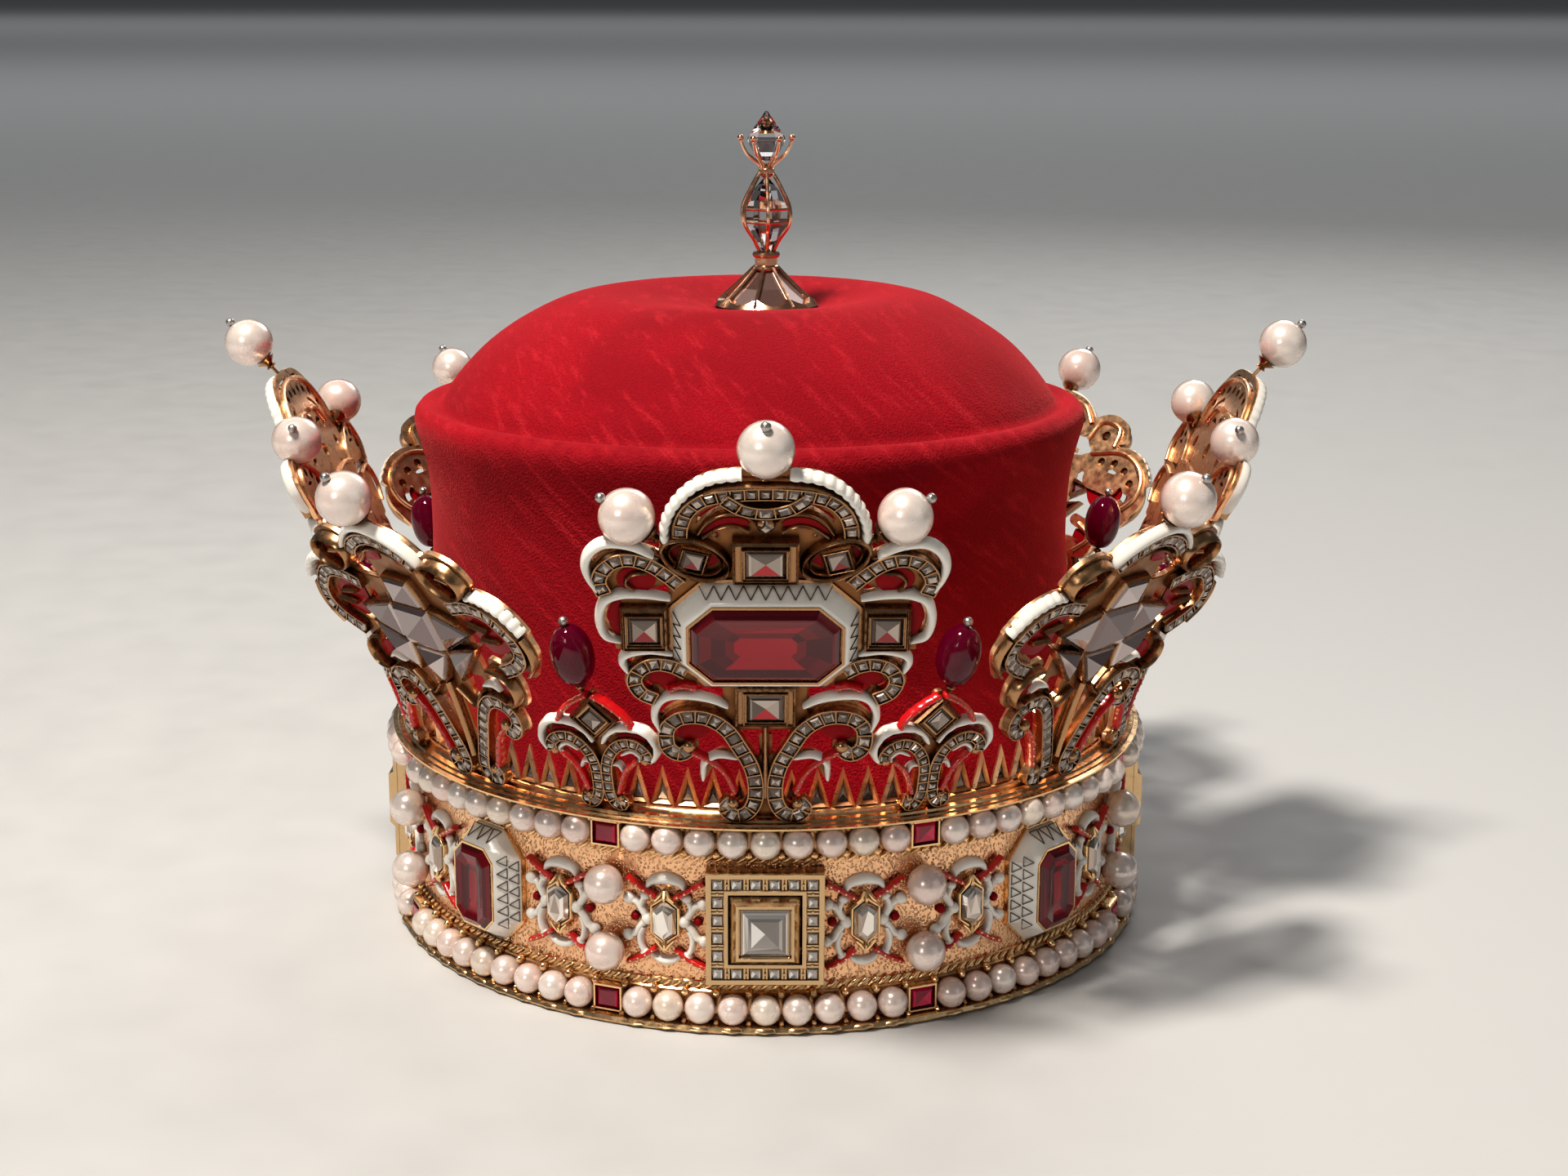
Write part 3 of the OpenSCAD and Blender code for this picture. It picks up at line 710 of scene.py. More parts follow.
def clear(name, colour, ior, rough=0.01, shine=0.5, through=1.0):
    made, tree, shader = material(name)
    shader.inputs["Transmission Weight"].default_value = through
    shader.inputs["IOR"].default_value = ior
    shader.inputs["Specular IOR Level"].default_value = shine
    grain = use(tree, GRAIN, Scale=120, Low=rough, High=rough + 0.03)
    # Painted glints: each facet is a little darker or brighter.
    glint_value = use(tree, FACET_GLINTS, Low=0.75, High=1.0)
    base = blend_colours(tree, glint_value.outputs["Value"], tuple(c * 0.6 for c in colour), colour)
    tree.links.new(base, shader.inputs["Base Color"])
    tree.links.new(grain.outputs["Roughness"], shader.inputs["Roughness"])
    return made


def pearl_lustre(name, warm, rosy, seed):
    made, tree, shader = material(name)
    facing = node(tree, "LayerWeight")
    facing.inputs["Blend"].default_value = 0.35
    spots = node(tree, "TexNoise", noise_dimensions="4D")
    coord = node(tree, "TexCoord")
    tree.links.new(coord.outputs["Object"], spots.inputs["Vector"])
    spots.inputs["Scale"].default_value = 60
    spots.inputs["W"].default_value = seed
    tint = blend_colours(tree, ramp(tree, spots.outputs["Fac"], 0.4, 0.62), warm, rosy)
    # Towards the outline the pearl turns darker and warmer: painted shade and painted reflection of the
    # gold.
    rim = tuple(c * f for c, f in zip(rosy, (0.62, 0.52, 0.46)))
    base = blend_colours(tree, ramp(tree, facing.outputs["Facing"], 0.25, 0.95), tint, rim)
    tree.links.new(base, shader.inputs["Base Color"])
    grain = use(tree, GRAIN, Scale=220, Low=0.24, High=0.32)
    shader.inputs["Specular IOR Level"].default_value = 0.9
    tree.links.new(grain.outputs["Roughness"], shader.inputs["Roughness"])
    shader.inputs["Metallic"].default_value = 0.35
    shader.inputs["Subsurface Weight"].default_value = 0.2
    shader.inputs["Subsurface Radius"].default_value = (0.002, 0.0015, 0.001)
    shader.inputs["Coat Weight"].default_value = 0.7
    shader.inputs["Coat Roughness"].default_value = 0.07
    bump(tree, shader, grain.outputs["Height"], 0.08, 0.0005)
    return made


def velvet_pile(name):
    made, tree, shader = material(name)
    pile = use(tree, PILE, Stroke_scale=170, Patch_scale=18, Slant=-0.75)
    worn = use(tree, EDGES, Amount=0.35, Scale=300)
    deep = (0.19, 0.001, 0.005)
    mid = (0.36, 0.002, 0.009)
    light = (0.60, 0.018, 0.030)
    base = blend_colours(tree, ramp(tree, pile.outputs["Patch"], 0.38, 0.64, 0.35, 1.0), deep, mid)
    base = blend_colours(tree, ramp(tree, pile.outputs["Stroke"], 0.50, 0.72, 0.0, 0.5), base, light)
    base = blend_colours(tree, ramp(tree, pile.outputs["Nap"], 0.40, 0.62, 0.55, 0.0), base, deep)
    # Lighter where the cloth turns away from view: painted sheen.
    facing = node(tree, "LayerWeight")
    facing.inputs["Blend"].default_value = 0.3
    base = blend_colours(tree, ramp(tree, facing.outputs["Facing"], 0.4, 1.0, 0.0, 0.4), base, light)
    base = blend_colours(tree, worn.outputs["Mask"], base, light)
    tree.links.new(base, shader.inputs["Base Color"])
    shader.inputs["Roughness"].default_value = 0.9
    shader.inputs["Specular IOR Level"].default_value = 0.1
    shader.inputs["Sheen Weight"].default_value = 0.22
    shader.inputs["Sheen Roughness"].default_value = 0.35
    shader.inputs["Sheen Tint"].default_value = (1.0, 0.16, 0.16, 1)
    height = maths(tree, "ADD", maths(tree, "MULTIPLY", pile.outputs["Stroke"], 0.8), pile.outputs["Nap"])
    bump(tree, shader, height, 0.6, 0.0006)
    return made


# %% The palette
POLISHED = gold("polished_gold", (1.0, 0.64, 0.32), (0.30, 0.11, 0.03), 0.16, 0.3)
ROSE = gold("rose_gold", (0.92, 0.48, 0.29), (0.30, 0.09, 0.04), 0.12, 0.26)
# The fronts of the palmettes and the fronts of their sheets take the next two, darker golds: painted shade.
SHADED_FRONT_GOLD = gold("front_gold_painted_shade", (0.44, 0.235, 0.11), (0.07, 0.026, 0.01), 0.2, 0.34, hollow=0.95)
RECESS_SHADE_GOLD = gold("recess_gold_painted_shade", (0.26, 0.11, 0.04), (0.05, 0.015, 0.006), 0.35, 0.55, hollow=0.9)
CHASED = gold("chased_gold", (0.95, 0.52, 0.27), (0.22, 0.07, 0.02), 0.22, 0.42, hollow=0.95)
MATTED = gold("punched_gold", (1.0, 0.58, 0.32), (0.48, 0.17, 0.06), 0.16, 0.34, punched=1.0)
WHITE = enamel("white_enamel", (0.90, 0.86, 0.79), (0.36, 0.26, 0.18), 0.6)
RED_ENAMEL = enamel("red_enamel", (0.26, 0.002, 0.005), (0.07, 0.0, 0.002), 0.0, 0.06)
STRUNG = enamel("red_glass", (0.56, 0.003, 0.005), (0.22, 0.0, 0.002), 0.7, 0.4)
RUBY = foiled("ruby", (0.06, 0.0, 0.003), (0.15, 0.001, 0.005), 0.1, 0.15, 0.12)
# Brighter red for some inner facets of the rubies: painted glow.
RUBY_GLOW = foiled("ruby_painted_glow", (0.20, 0.001, 0.006), (0.36, 0.002, 0.012), 0.1, 0.15, 0.12)
RUBY_SMALL = foiled("small_ruby", (0.24, 0.0, 0.02), (0.72, 0.004, 0.07), 0.1, 0.1, 0.25)
BEAD = clear("ruby_bead", (0.15, 0.0, 0.02), 1.4, 0.02, 0.4, 0.55)
DIAMOND = foiled("diamond", (0.20, 0.16, 0.14), (0.95, 0.92, 0.88))
# Darker copy of the diamond for some facets of the large diamonds: painted shade.
DIAMOND_SHADE = foiled("diamond_painted_shade", (0.12, 0.105, 0.10), (0.46, 0.42, 0.39))
SHADED_DIAMOND = foiled("shaded_diamond", (0.10, 0.07, 0.055), (0.50, 0.41, 0.35), 0.08, 0.6, 0.6)
# Red for one facet of framed stones: painted reflection.
RED_REFLECTION = foiled("painted_red_reflection", (0.22, 0.002, 0.006), (0.48, 0.005, 0.012), 0.1, 0.3, 0.4)
# Crystals of the side palmettes, darkened: painted shade.
CRYSTAL_SHADE = foiled("crystal_painted_shade", (0.20, 0.14, 0.14), (0.66, 0.56, 0.54), 0.04, 0.5, 1.0)
CRYSTAL = clear("rock_crystal", (0.97, 0.93, 0.92), 1.5)
LONG_CRYSTAL = foiled("foiled_crystal", (0.40, 0.30, 0.24), (1.0, 0.93, 0.86), 0.05, 0.8)
DARK_PANE = foiled("backed_crystal", (0.05, 0.035, 0.035), (0.34, 0.29, 0.28), 0.05, 0.6)
FOOT_PANE = foiled("foot_pane", (0.20, 0.10, 0.08), (0.50, 0.34, 0.30), 0.08, 0.7)
PEARL_A = pearl_lustre("pearl_cream", (0.92, 0.81, 0.74), (0.90, 0.74, 0.67), 1.0)
PEARL_B = pearl_lustre("pearl_rose", (0.92, 0.79, 0.72), (0.89, 0.70, 0.63), 4.0)
PEARL_C = pearl_lustre("pearl_gold", (0.92, 0.80, 0.69), (0.87, 0.72, 0.60), 7.0)
PLAQUE = gold("plaque_gold", (0.66, 0.44, 0.23), (0.14, 0.06, 0.02), 0.14, 0.28)
SILVER = gold("dull_silver", (0.46, 0.44, 0.42), (0.08, 0.07, 0.07), 0.3, 0.45)
# Dark lines in engraved grooves: painted shade.
GROOVE_SHADE = enamel("painted_groove_shade", (0.05, 0.03, 0.02), (0.01, 0.01, 0.01), 0.4)
VELVET = velvet_pile("red_velvet")
print("materials", len(bpy.data.materials))

# %% [markdown]
# ## A goldsmith's vocabulary
# The crown repeats a few things many times: round wire, channels with small square stones,
# enamel ridges, rods of red glass, framed stones. Each gets one function that adds to a `Kit`,
# which is a set of soups, one for each kind of surface.

# %% Kits and ornaments
rng = np.random.default_rng(7)
KINDS = ["gold", "white", "red", "glass", "stones", "silver", "dark", "crystal"]


def kit():
    return {kind: Soup() for kind in KINDS}


def wire(k, points, width=0.8, high=1.3, low=0.0, kind="gold", step=0.8, closed=False, wide=1.0,
         finish=0):
    line = curve(points, step, closed)
    k[kind].add(*strip(line, rounded(width, low, high), wide, 1.0, closed), finish)
    return line


def enamel_ridge(k, points, width=2.2, high=2.0, low=0.2, pitch=0.0, ends=0.45, kind="white"):
    line = curve(points, 0.5)
    wide = taper(line, ends)
    if pitch:
        wide = wide * scallop(line, pitch, 0.34)
    tall = 0.75 + 0.25 * wide
    k[kind].add(*strip(line, rounded(width, low, high, 8), wide, tall))


def gem(at, turn, w, h, base, rise, c=0.0, table=0.5, sink=0.14):
    """Table cut stone; the sunk middle stands for the back facets seen through the table."""
    verts, faces = loft(gem_levels(w, h, base, rise, c, table), at, turn)
    size = 8 if c > 0 else 4
    top = list(range(len(verts) - size, len(verts)))
    faces = faces[:-1]
    middle = verts[top].mean(axis=0) - [0, 0, sink * w * 0.5]
    verts = np.vstack([verts, [middle]])
    faces += [(top[i], top[(i + 1) % size], len(verts) - 1) for i in range(size)]
    return verts, faces


def walk_along(line, pitch, start=0.5):
    step = np.linalg.norm(np.diff(line, axis=0), axis=1)
    walk = np.concatenate([[0], np.cumsum(step)])
    count = max(1, int(round(walk[-1] / pitch)))
    spots = (np.arange(count) + start) * walk[-1] / count
    tangent, _ = sides(line)
    out = []
    for d in spots:
        u = np.interp(d, walk, line[:, 0])
        s = np.interp(d, walk, line[:, 1])
        tu = np.interp(d, walk, tangent[:, 0])
        ts = np.interp(d, walk, tangent[:, 1])
        out.append((u, s, math.degrees(math.atan2(ts, tu))))
    return out


def channel(k, points, width=3.7, pitch=3.1, top=1.9, floor=1.35, rim=0.34, wide=1.0):
    """Trough of gold with a row of small square stones and a bar between each two of them."""
    line = curve(points, 0.7)
    k["gold"].add(*strip(line, trough(width, rim, floor, top, -0.4), wide), 0, False)
    inner = width - 2 * rim
    for u, s, turn in walk_along(line, pitch):
        size = (inner - 0.1) * rng.uniform(0.94, 1.0)
        long = (pitch - 0.45) * rng.uniform(0.92, 1.0)
        tilt = turn + rng.uniform(-4, 4)
        k["stones"].add(*gem((u, s), tilt, long, size, floor - 0.1, top - floor + 0.3, 0, 0.56), 0, False)
    for u, s, turn in walk_along(line, pitch, 0.0):
        bar = loft([(oblong(0.4, inner + 0.1), floor - 0.1), (oblong(0.25, inner + 0.1), top - 0.05)],
                   (u, s), turn)
        k["gold"].add(*bar, 0, False)
    return line


def strung(k, points, radius=0.86, pitch=2.4, at=1.5, kind="glass"):
    """Rod of red glass, slightly beaded, with a grain of gold on each bead."""
    line = curve(points, 0.5)
    section = rounded(2 * radius, at - radius, at + radius * 0.9)
    k[kind].add(*strip(line, section, scallop(line, pitch, 0.22)))
    for u, s, turn in walk_along(line, pitch):
        k["gold"].add(*ball((u, s, at + radius * 0.72), 0.34, 4, 6))


def framed(k, at, outer, inner, high, stone, turn=0.0, low=-0.3, floor=0.8, rise=1.2, glint=True):
    """Square frame with a stepped rim around one larger stone."""
    levels = frame_levels(outer, inner, low, high, floor)
    k["gold"].add(*loft(levels, at, turn), 0, False)
    ow, oh = inner
    lip = [(oblong(ow - 0.1, oh - 0.1), floor), (oblong(ow - 0.1, oh - 0.1), high - 0.55),
           (oblong(stone[0] + 0.3, stone[1] + 0.3), high - 0.55),
           (oblong(stone[0] + 0.1, stone[1] + 0.1), floor)]
    k["gold"].add(*loft(lip, at, turn), 0, False)
    verts, faces = gem(at, turn, stone[0], stone[1], floor, rise, 0, 0.72, 0.1)
    k["stones"].add(verts, faces, 0, False)
    # One facet of the sunk middle is painted red: a painted red reflection inside the stone.
    if glint:
        k["stones"].kinds[-4] = 1


def add_sheet(k, verts, faces):
    """Painted shade: dark gold in the recesses of the front; chased bright gold on the back and the edges.
    """
    k["gold"].add(verts, faces, 1, True)
    fronts = sum(1 for f in faces if max(f) < len(verts) // 2)
    first = len(k["gold"].kinds) - len(faces)
    k["gold"].kinds[first : first + fronts] = [2] * fronts


def back_ridge(k, points, width=1.3):
    """Chased ridge on the back of a sheet."""
    line = curve(points, 1.0)
    section = [(a, -1.1 - (n + 0.6)) for a, n in rounded(width, 0.0, 0.55, 5)]
    k["gold"].add(*strip(line, section), 1)


def holes_along(points, pitch, radius):
    return [(u, s, radius) for u, s, _ in walk_along(curve(points, 0.8), pitch)]


def knob(k, u, s, radius, n=0.9, kind="gold"):
    k[kind].add(*ball((u, s, n), radius, 7, 12))


def lens(k, points, n=0.35, kind="red"):
    """Field of enamel: the outline is filled with a flat fan that swells a little."""
    ring = curve(points, 0.9, True)
    centre = ring.mean(axis=0)
    low = np.column_stack([ring, np.full(len(ring), n - 0.5)])
    edge = np.column_stack([ring, np.full(len(ring), n)])
    inner = np.column_stack([centre + (ring - centre) * 0.6, np.full(len(ring), n + 0.25)])
    verts, faces = skin(np.array([low, edge, inner]))
    k[kind].add(verts, faces)


# %% [markdown]
# ## Main palmette
# Four of the eight large palmettes carry a great ruby. The paths below are the right half
# only and run from the outside in; `both` and `across` make the left half of them.

# %% Main palmette
def main_ornament():
    k = kit()
    top_edge = across([(21.2, 77), (21.4, 80.4), (20.2, 84.8), (17.8, 89), (14.4, 92.4),
                       (10.6, 94.3), (6, 95), (0, 95.2)])
    line = curve(top_edge, 0.4)
    for part in (line[: len(line) // 2], line[len(line) // 2 :]):
        part = part[np.abs(part[:, 0]) > 4.6]
        wide = scallop(part, 2.45, 0.4)
        k["white"].add(*strip(part, rounded(2.5, 0.0, 2.3, 8), wide, 0.7 + 0.3 * wide))
    wire(k, across([(19.6, 77.6), (19.6, 81.2), (18.2, 85.4), (15.4, 89), (11, 91.6), (6, 92.4),
                    (0, 92.6)]), 0.9, 2.0)
    channel(k, across([(18.2, 79), (17.9, 82), (16.6, 85.6), (13.8, 88.6), (9.8, 90), (5.4, 90.6),
                       (0, 90.8)]), 3.4, 3.0)
    channel(k, across([(8.8, 89.6), (5, 86.9), (0, 85.9)]), 3.2, 3.6, 2.4, 1.75)
    knob(k, 0, 82, 2.3, 0.2)
    k["stones"].add(*gem((0, 82), 45, 2.6, 2.6, 1.6, 1.0), 0, False)
    for arch in ([(14.4, 79.4), (12, 83.2), (8.4, 85), (4.6, 84.6), (2.4, 82.6)],
                 [(13.4, 78.4), (10, 81), (6.6, 81.6), (3.6, 80)]):
        for path in both(arch):
            wire(k, path, 0.9, 1.5)
    for path in both([(13.6, 79), (11, 82.2), (8, 83.4), (4.6, 83), (3.4, 81.4), (6.6, 80.9),
                      (10, 80)]):
        lens(k, path)
    for side in (1, -1):
        tilt = math.radians(27.6) * side
        for grow, width, high in ((1.0, 1.3, 2.7), (0.78, 0.7, 1.9)):
            ring = []
            for t in np.linspace(0, 2 * math.pi, 20, endpoint=False):
                x, y = 7.7 * grow * math.cos(t), 4.7 * grow * math.sin(t)
                ring.append((15 * side + x * math.cos(tilt) - y * math.sin(tilt),
                             73 + x * math.sin(tilt) + y * math.cos(tilt)))
            wire(k, ring, width, high, closed=True)
        framed(k, (15.6 * side, 72.4), (7, 7), (5.2, 5.2), 2.1, (4.8, 4.8), 15 * side)
        lens(k, [(15 * side + 5.6 * math.cos(t), 73 + 3.4 * math.sin(t))
                 for t in np.linspace(0, 2 * math.pi, 8, endpoint=False)], 0.2)
    framed(k, (0, 72.6), (14.2, 11.2), (9.6, 8.2), 3.7, (8.6, 7.2), floor=2.2)
    framed(k, (0, 33.4), (13.4, 10.2), (9.2, 8), 3.4, (8.2, 7), floor=2.0)
    for side in (1, -1):
        framed(k, (26.4 * side, 54.3), (9.8, 11.4), (7.6, 8), 3.3, (6.8, 7), floor=1.9)
        wire(k, [(31.3 * side, 49), (31.3 * side, 60)], 0.8, 2.6)
    crescent = [(20.6, 61.9), (26, 62.9), (31, 63), (34.6, 61.4), (36, 58), (36, 54.4), (34.8, 51.6),
                (31.6, 50.4)]
    for path in both(crescent):
        enamel_ridge(k, path, 2.3, 2.2)
    for path in both([(31.4, 61), (33.6, 59.6), (34.2, 56.4), (33.6, 53.4), (31.6, 52)]):
        lens(k, path)
    for path in both([(24, 73.4), (29, 76.2), (34, 76.8), (37.2, 74.6), (38.6, 71.2), (38.1, 67.8),
                      (36.4, 64.2)]):
        enamel_ridge(k, path, 2.4, 2.3)
    for path in both([(34.8, 63.6), (35.9, 66.8), (34.7, 70.2), (32, 72.4), (28.4, 72.8),
                      (24.4, 71.2), (21, 68.4), (18.4, 65.8)]):
        channel(k, path, 3.6, 3.0)
    for path in both([(26, 70.2), (31, 69), (32, 66), (29.6, 63.8), (25.4, 63.8), (23.6, 66.6)]):
        lens(k, path)
    for path in both([(25.4, 69), (28.6, 68.6), (30.2, 66.4), (28.6, 64.4)]):
        wire(k, path, 1.1, 1.9)
    for path in both([(30.4, 42.2), (31.6, 44.9), (30.2, 47), (25.6, 48), (20.4, 47)]):
        enamel_ridge(k, path, 2.2, 2.2)
    for path in both([(24.4, 35.2), (27.6, 37), (29, 40.2), (27.5, 43.2), (24.1, 44.6),
                      (20.5, 44), (17.3, 42.2)]):
        channel(k, path, 3.6, 3.0)
    for path in both([(25, 38.6), (26, 40.4), (24, 42.2), (20, 41.4), (20.4, 38.4)]):
        lens(k, path)
    for path in both([(21.5, 37.5), (18.5, 38.6), (15.5, 38)]):
        strung(k, path)
    for path in both([(23.6, 26.4), (24.8, 30.2), (23.6, 34), (20.8, 35.7), (16.4, 35.7),
                      (12.1, 34.7), (8.4, 32.8)]):
        enamel_ridge(k, path, 2.2, 2.2, pitch=0)
    for path in both([(16.9, 21.9), (19.3, 20.4), (21.9, 22.5), (22, 27.2), (19.1, 30), (13.8, 30.2),
                      (9, 27.3), (5.8, 22.2), (3.2, 17), (2.2, 11.9), (2.5, 7.6), (4.3, 4.7),
                      (7.1, 4), (8.9, 5.9), (7.5, 7.9)]):
        channel(k, path, 3.8, 3.2)
    for path in both([(13, 27.6), (18.4, 27.4), (19.6, 24.4), (16.4, 23.6), (13, 25)]):
        lens(k, path)
    for side in (1, -1):
        knob(k, 17.2 * side, 22.4, 1.7, 1.1)
        knob(k, 7.4 * side, 7.2, 1.5, 1.1)
    for path in both([(16.6, 20.9), (12.3, 18.3), (9.1, 15.1), (6.9, 10)]):
        strung(k, path)
    for path in both([(6.3, 19), (10.7, 19.7), (13.7, 17.6), (14.1, 13.2)]):
        enamel_ridge(k, path, 1.7, 2.0, ends=0.5)
    wire(k, [(0, 28), (0, 20), (0, 9)], 1.6, 2.3)
    # Under each row of ornament runs the sheet that carries it
    bands = [(curve(top_edge, 1.2), 0.8), (curve(crescent, 1.2), 0.8)]
    rows = [
        ([(18.2, 78.8), (16.6, 85.4), (9.8, 89.8), (0, 90.4)], 3.0),
        ([(24, 73.4), (30, 76.4), (35.4, 76), (38.4, 71), (36.4, 64.2)], 0.8),
        ([(34.9, 63.6), (34.7, 70.2), (28.4, 72.8), (21, 68.4), (18, 65.6)], 2.4),
        ([(30.4, 42.2), (31.4, 45), (27, 47.8), (20.4, 47)], 0.8),
        ([(24.4, 35.2), (28.8, 39), (26, 44), (17.3, 42.2)], 2.4),
        ([(23.6, 26.4), (24.4, 32), (20, 35.7), (8.4, 32.8)], 0.8),
        ([(16.9, 21.9), (21.9, 22.5), (21, 29), (13.8, 30.2), (5.8, 22.2), (2.2, 11.9), (2.6, 7),
          (4.6, 4.6), (7.1, 4.2)], 2.0),
        ([(14, 79), (8, 83.6), (0, 81)], 2.2),
        ([(24, 66.8), (31, 66.8)], 2.6),
        ([(18, 39.8), (26, 40.2)], 1.8),
        ([(6.3, 19), (10.7, 19.7), (14.1, 13.6)], 0.9),
    ]
    for row, half in rows:
        for path in both(row):
            bands.append((curve(path, 1.2), half))
    boxes = [(0, 52.5, 42, 29), (0, 73, 20, 14), (0, 33, 19, 14), (27, 54.3, 12, 13.5),
             (-27, 54.3, 12, 13.5), (0, 14, 3, 22), (0, 88, 16, 10)]
    discs = [(15, 73, 6.4), (-15, 73, 6.4)]
    # Seen from behind, the sheet is pierced under the ornament and ridged between
    holes = holes_along(across([(17.4, 82), (13.8, 87.6), (6, 89.8), (0, 90)]), 4.6, 1.15)
    holes += [(0, 52.5, 4.2), (0, 73, 2.2), (0, 33, 2.2), (0, 20, 0.9)]
    for row, pitch, radius in (([(35, 66), (32, 72), (26, 72), (20, 67.4)], 4.4, 1.2),
                               ([(25, 36.6), (27.6, 41), (22, 43.4)], 4.2, 1.2),
                               ([(20.6, 25.6), (16, 28.6), (8.6, 24.8), (3.4, 15), (3, 8)], 4.6, 1.1),
                               ([(9, 46), (16, 52.5), (9, 59)], 7, 2.0), ([(15, 69.6), (15, 76.4)], 5, 1.6)):
        for path in both(row):
            holes += holes_along(path, pitch, radius)
    for row in ([(19.6, 79), (18.6, 84.4), (14.6, 90), (8, 92.6), (0, 93.4)],
                [(34, 63), (36.6, 68), (34, 74), (28, 75), (20, 70.6), (17.6, 66)],
                [(33, 51), (35.4, 56), (32, 61.6), (22, 61)],
                [(23, 35), (28.6, 38.6), (28, 44), (20, 46)],
                [(22.6, 23), (23, 29), (18, 33), (10, 31), (4.6, 22), (2, 12)],
                [(13, 79), (9, 83.6), (3, 84)], [(19, 66), (10, 67), (0, 66)],
                [(19, 40), (10, 38.4), (0, 39)]):
        for path in both(row):
            back_ridge(k, path)
    add_sheet(k, *sheet_mesh((-41, 41, 1, 98), 0.85, -1.3, 0.1, paths=bands, boxes=boxes,
                              discs=discs, holes=holes))
    return k


def sloped(half, drop, n, side):
    """Half width of the collet at height n; it narrows by drop over 4 mm of height."""
    return (half - (n - 1.0) / 4.0 * drop) * side


def engrave(k, corners):
    # Thin dark wire along each line stands for the shade in an engraved groove: painted shade.
    for start, end in zip(corners[:-1], corners[1:]):
        pts = np.linspace(start, end, 4) + [0, 52.5, 0.12]
        k["dark"].add(*tube(pts, 0.13, 4))


def main_collet():
    """Flared setting of the great ruby: white enamel with engraved zigzags drawn as dark lines, painted
    shade of the grooves.
    """
    k = kit()
    w, h, c = 34.8, 21.4, 5.6
    outer = [(oblong(41, 27.6, 7.2), 0.0), (oblong(40.6, 27.2, 7.2), 1.0),
             (oblong(w + 1.4, h + 1.4, c + 0.6), 5.0), (oblong(w + 0.6, h + 0.6, c + 0.3), 5.4)]
    levels = outer + [(oblong(w - 1.4, h - 1.4, c - 0.4), 5.4), (oblong(w - 1.8, h - 1.8, c - 0.5), 0.6)]
    k["white"].add(*loft(levels, (0, 52.5)), 0, False)
    rim = [(oblong(w - 0.4, h - 0.4, c), 5.2), (oblong(w - 0.4, h - 0.4, c), 5.75),
           (oblong(w - 1.6, h - 1.6, c - 0.4), 5.75), (oblong(w - 2.0, h - 2.0, c - 0.5), 3.0)]
    k["gold"].add(*loft(rim, (0, 52.5)), 0, False)
    base = [(oblong(42.4, 28.8, 7.6), -0.2), (oblong(42.2, 28.6, 7.6), 0.7), (oblong(41, 27.4, 7.2), 0.9)]
    k["gold"].add(*loft(base, (0, 52.5)), 0, False)
    # Zigzags of dark line, painted shade of engraved grooves, lie just above the sloping sides, from their
    # foot to near the top
    low, high = 1.5, 4.6
    for side in (1, -1):
        for j in range(9):
            a = -12.8 + j * 3.2
            near, far = sloped(13.7, 2.0, low, side), sloped(13.7, 2.0, high, side)
            engrave(k, [(a - 1.6, near, low), (a, far, high), (a + 1.6, near, low)])
        for j in range(4):
            a = -4.8 + j * 3.2
            near, far = sloped(20.4, 2.2, low, side), sloped(20.4, 2.2, high, side)
            engrave(k, [(near, a - 1.6, low), (far, a, high), (near, a + 1.6, low)])
    return k


def ruby_stone(outer, inner, at=(0, 0)):
    """Step cut stone. Its table is sunk in steps, and facets of the lower and middle ones, kind 1, are
    painted brighter as a painted glow.
    """
    s = Soup()
    verts, faces = loft(outer + inner, at)
    s.add(verts, faces, 0, False)
    size = len(outer[0][0])
    for level in range(len(outer), len(outer) + len(inner) - 1):
        s.kinds[level * size] = 1
        s.kinds[level * size + 4] = int(level == len(outer))
    s.kinds[-1] = 1
    return s


def great_ruby():
    w, h, c = 32.6, 19.0, 4.6
    outer = [(oblong(w - 6, h - 6, c - 1.2), 2.4), (oblong(w - 1.6, h - 1.6, c - 0.3), 4.6),
             (oblong(w, h, c), 5.2), (oblong(w, h, c), 5.5), (oblong(w - 1.5, h - 1.5, c - 0.3), 6.3),
             (oblong(w - 3.0, h - 3.0, c - 0.7), 6.9), (oblong(w - 3.8, h - 3.8, c - 0.9), 7.0)]
    inner = [(oblong(w - 9, h - 7.4, c - 1.6), 6.5), (oblong(w - 15, h - 11, c - 2.6), 6.2),
             (oblong(w - 19, h - 14, c - 3.4), 6.1)]
    return ruby_stone(outer, inner, (0, 52.5))

# %% [markdown]
# ## Side palmette
# The other four large palmettes hold a cluster of pointed rock crystals between two leafy
# shoulders. They are drawn in the same way, on a plate that leans out further.

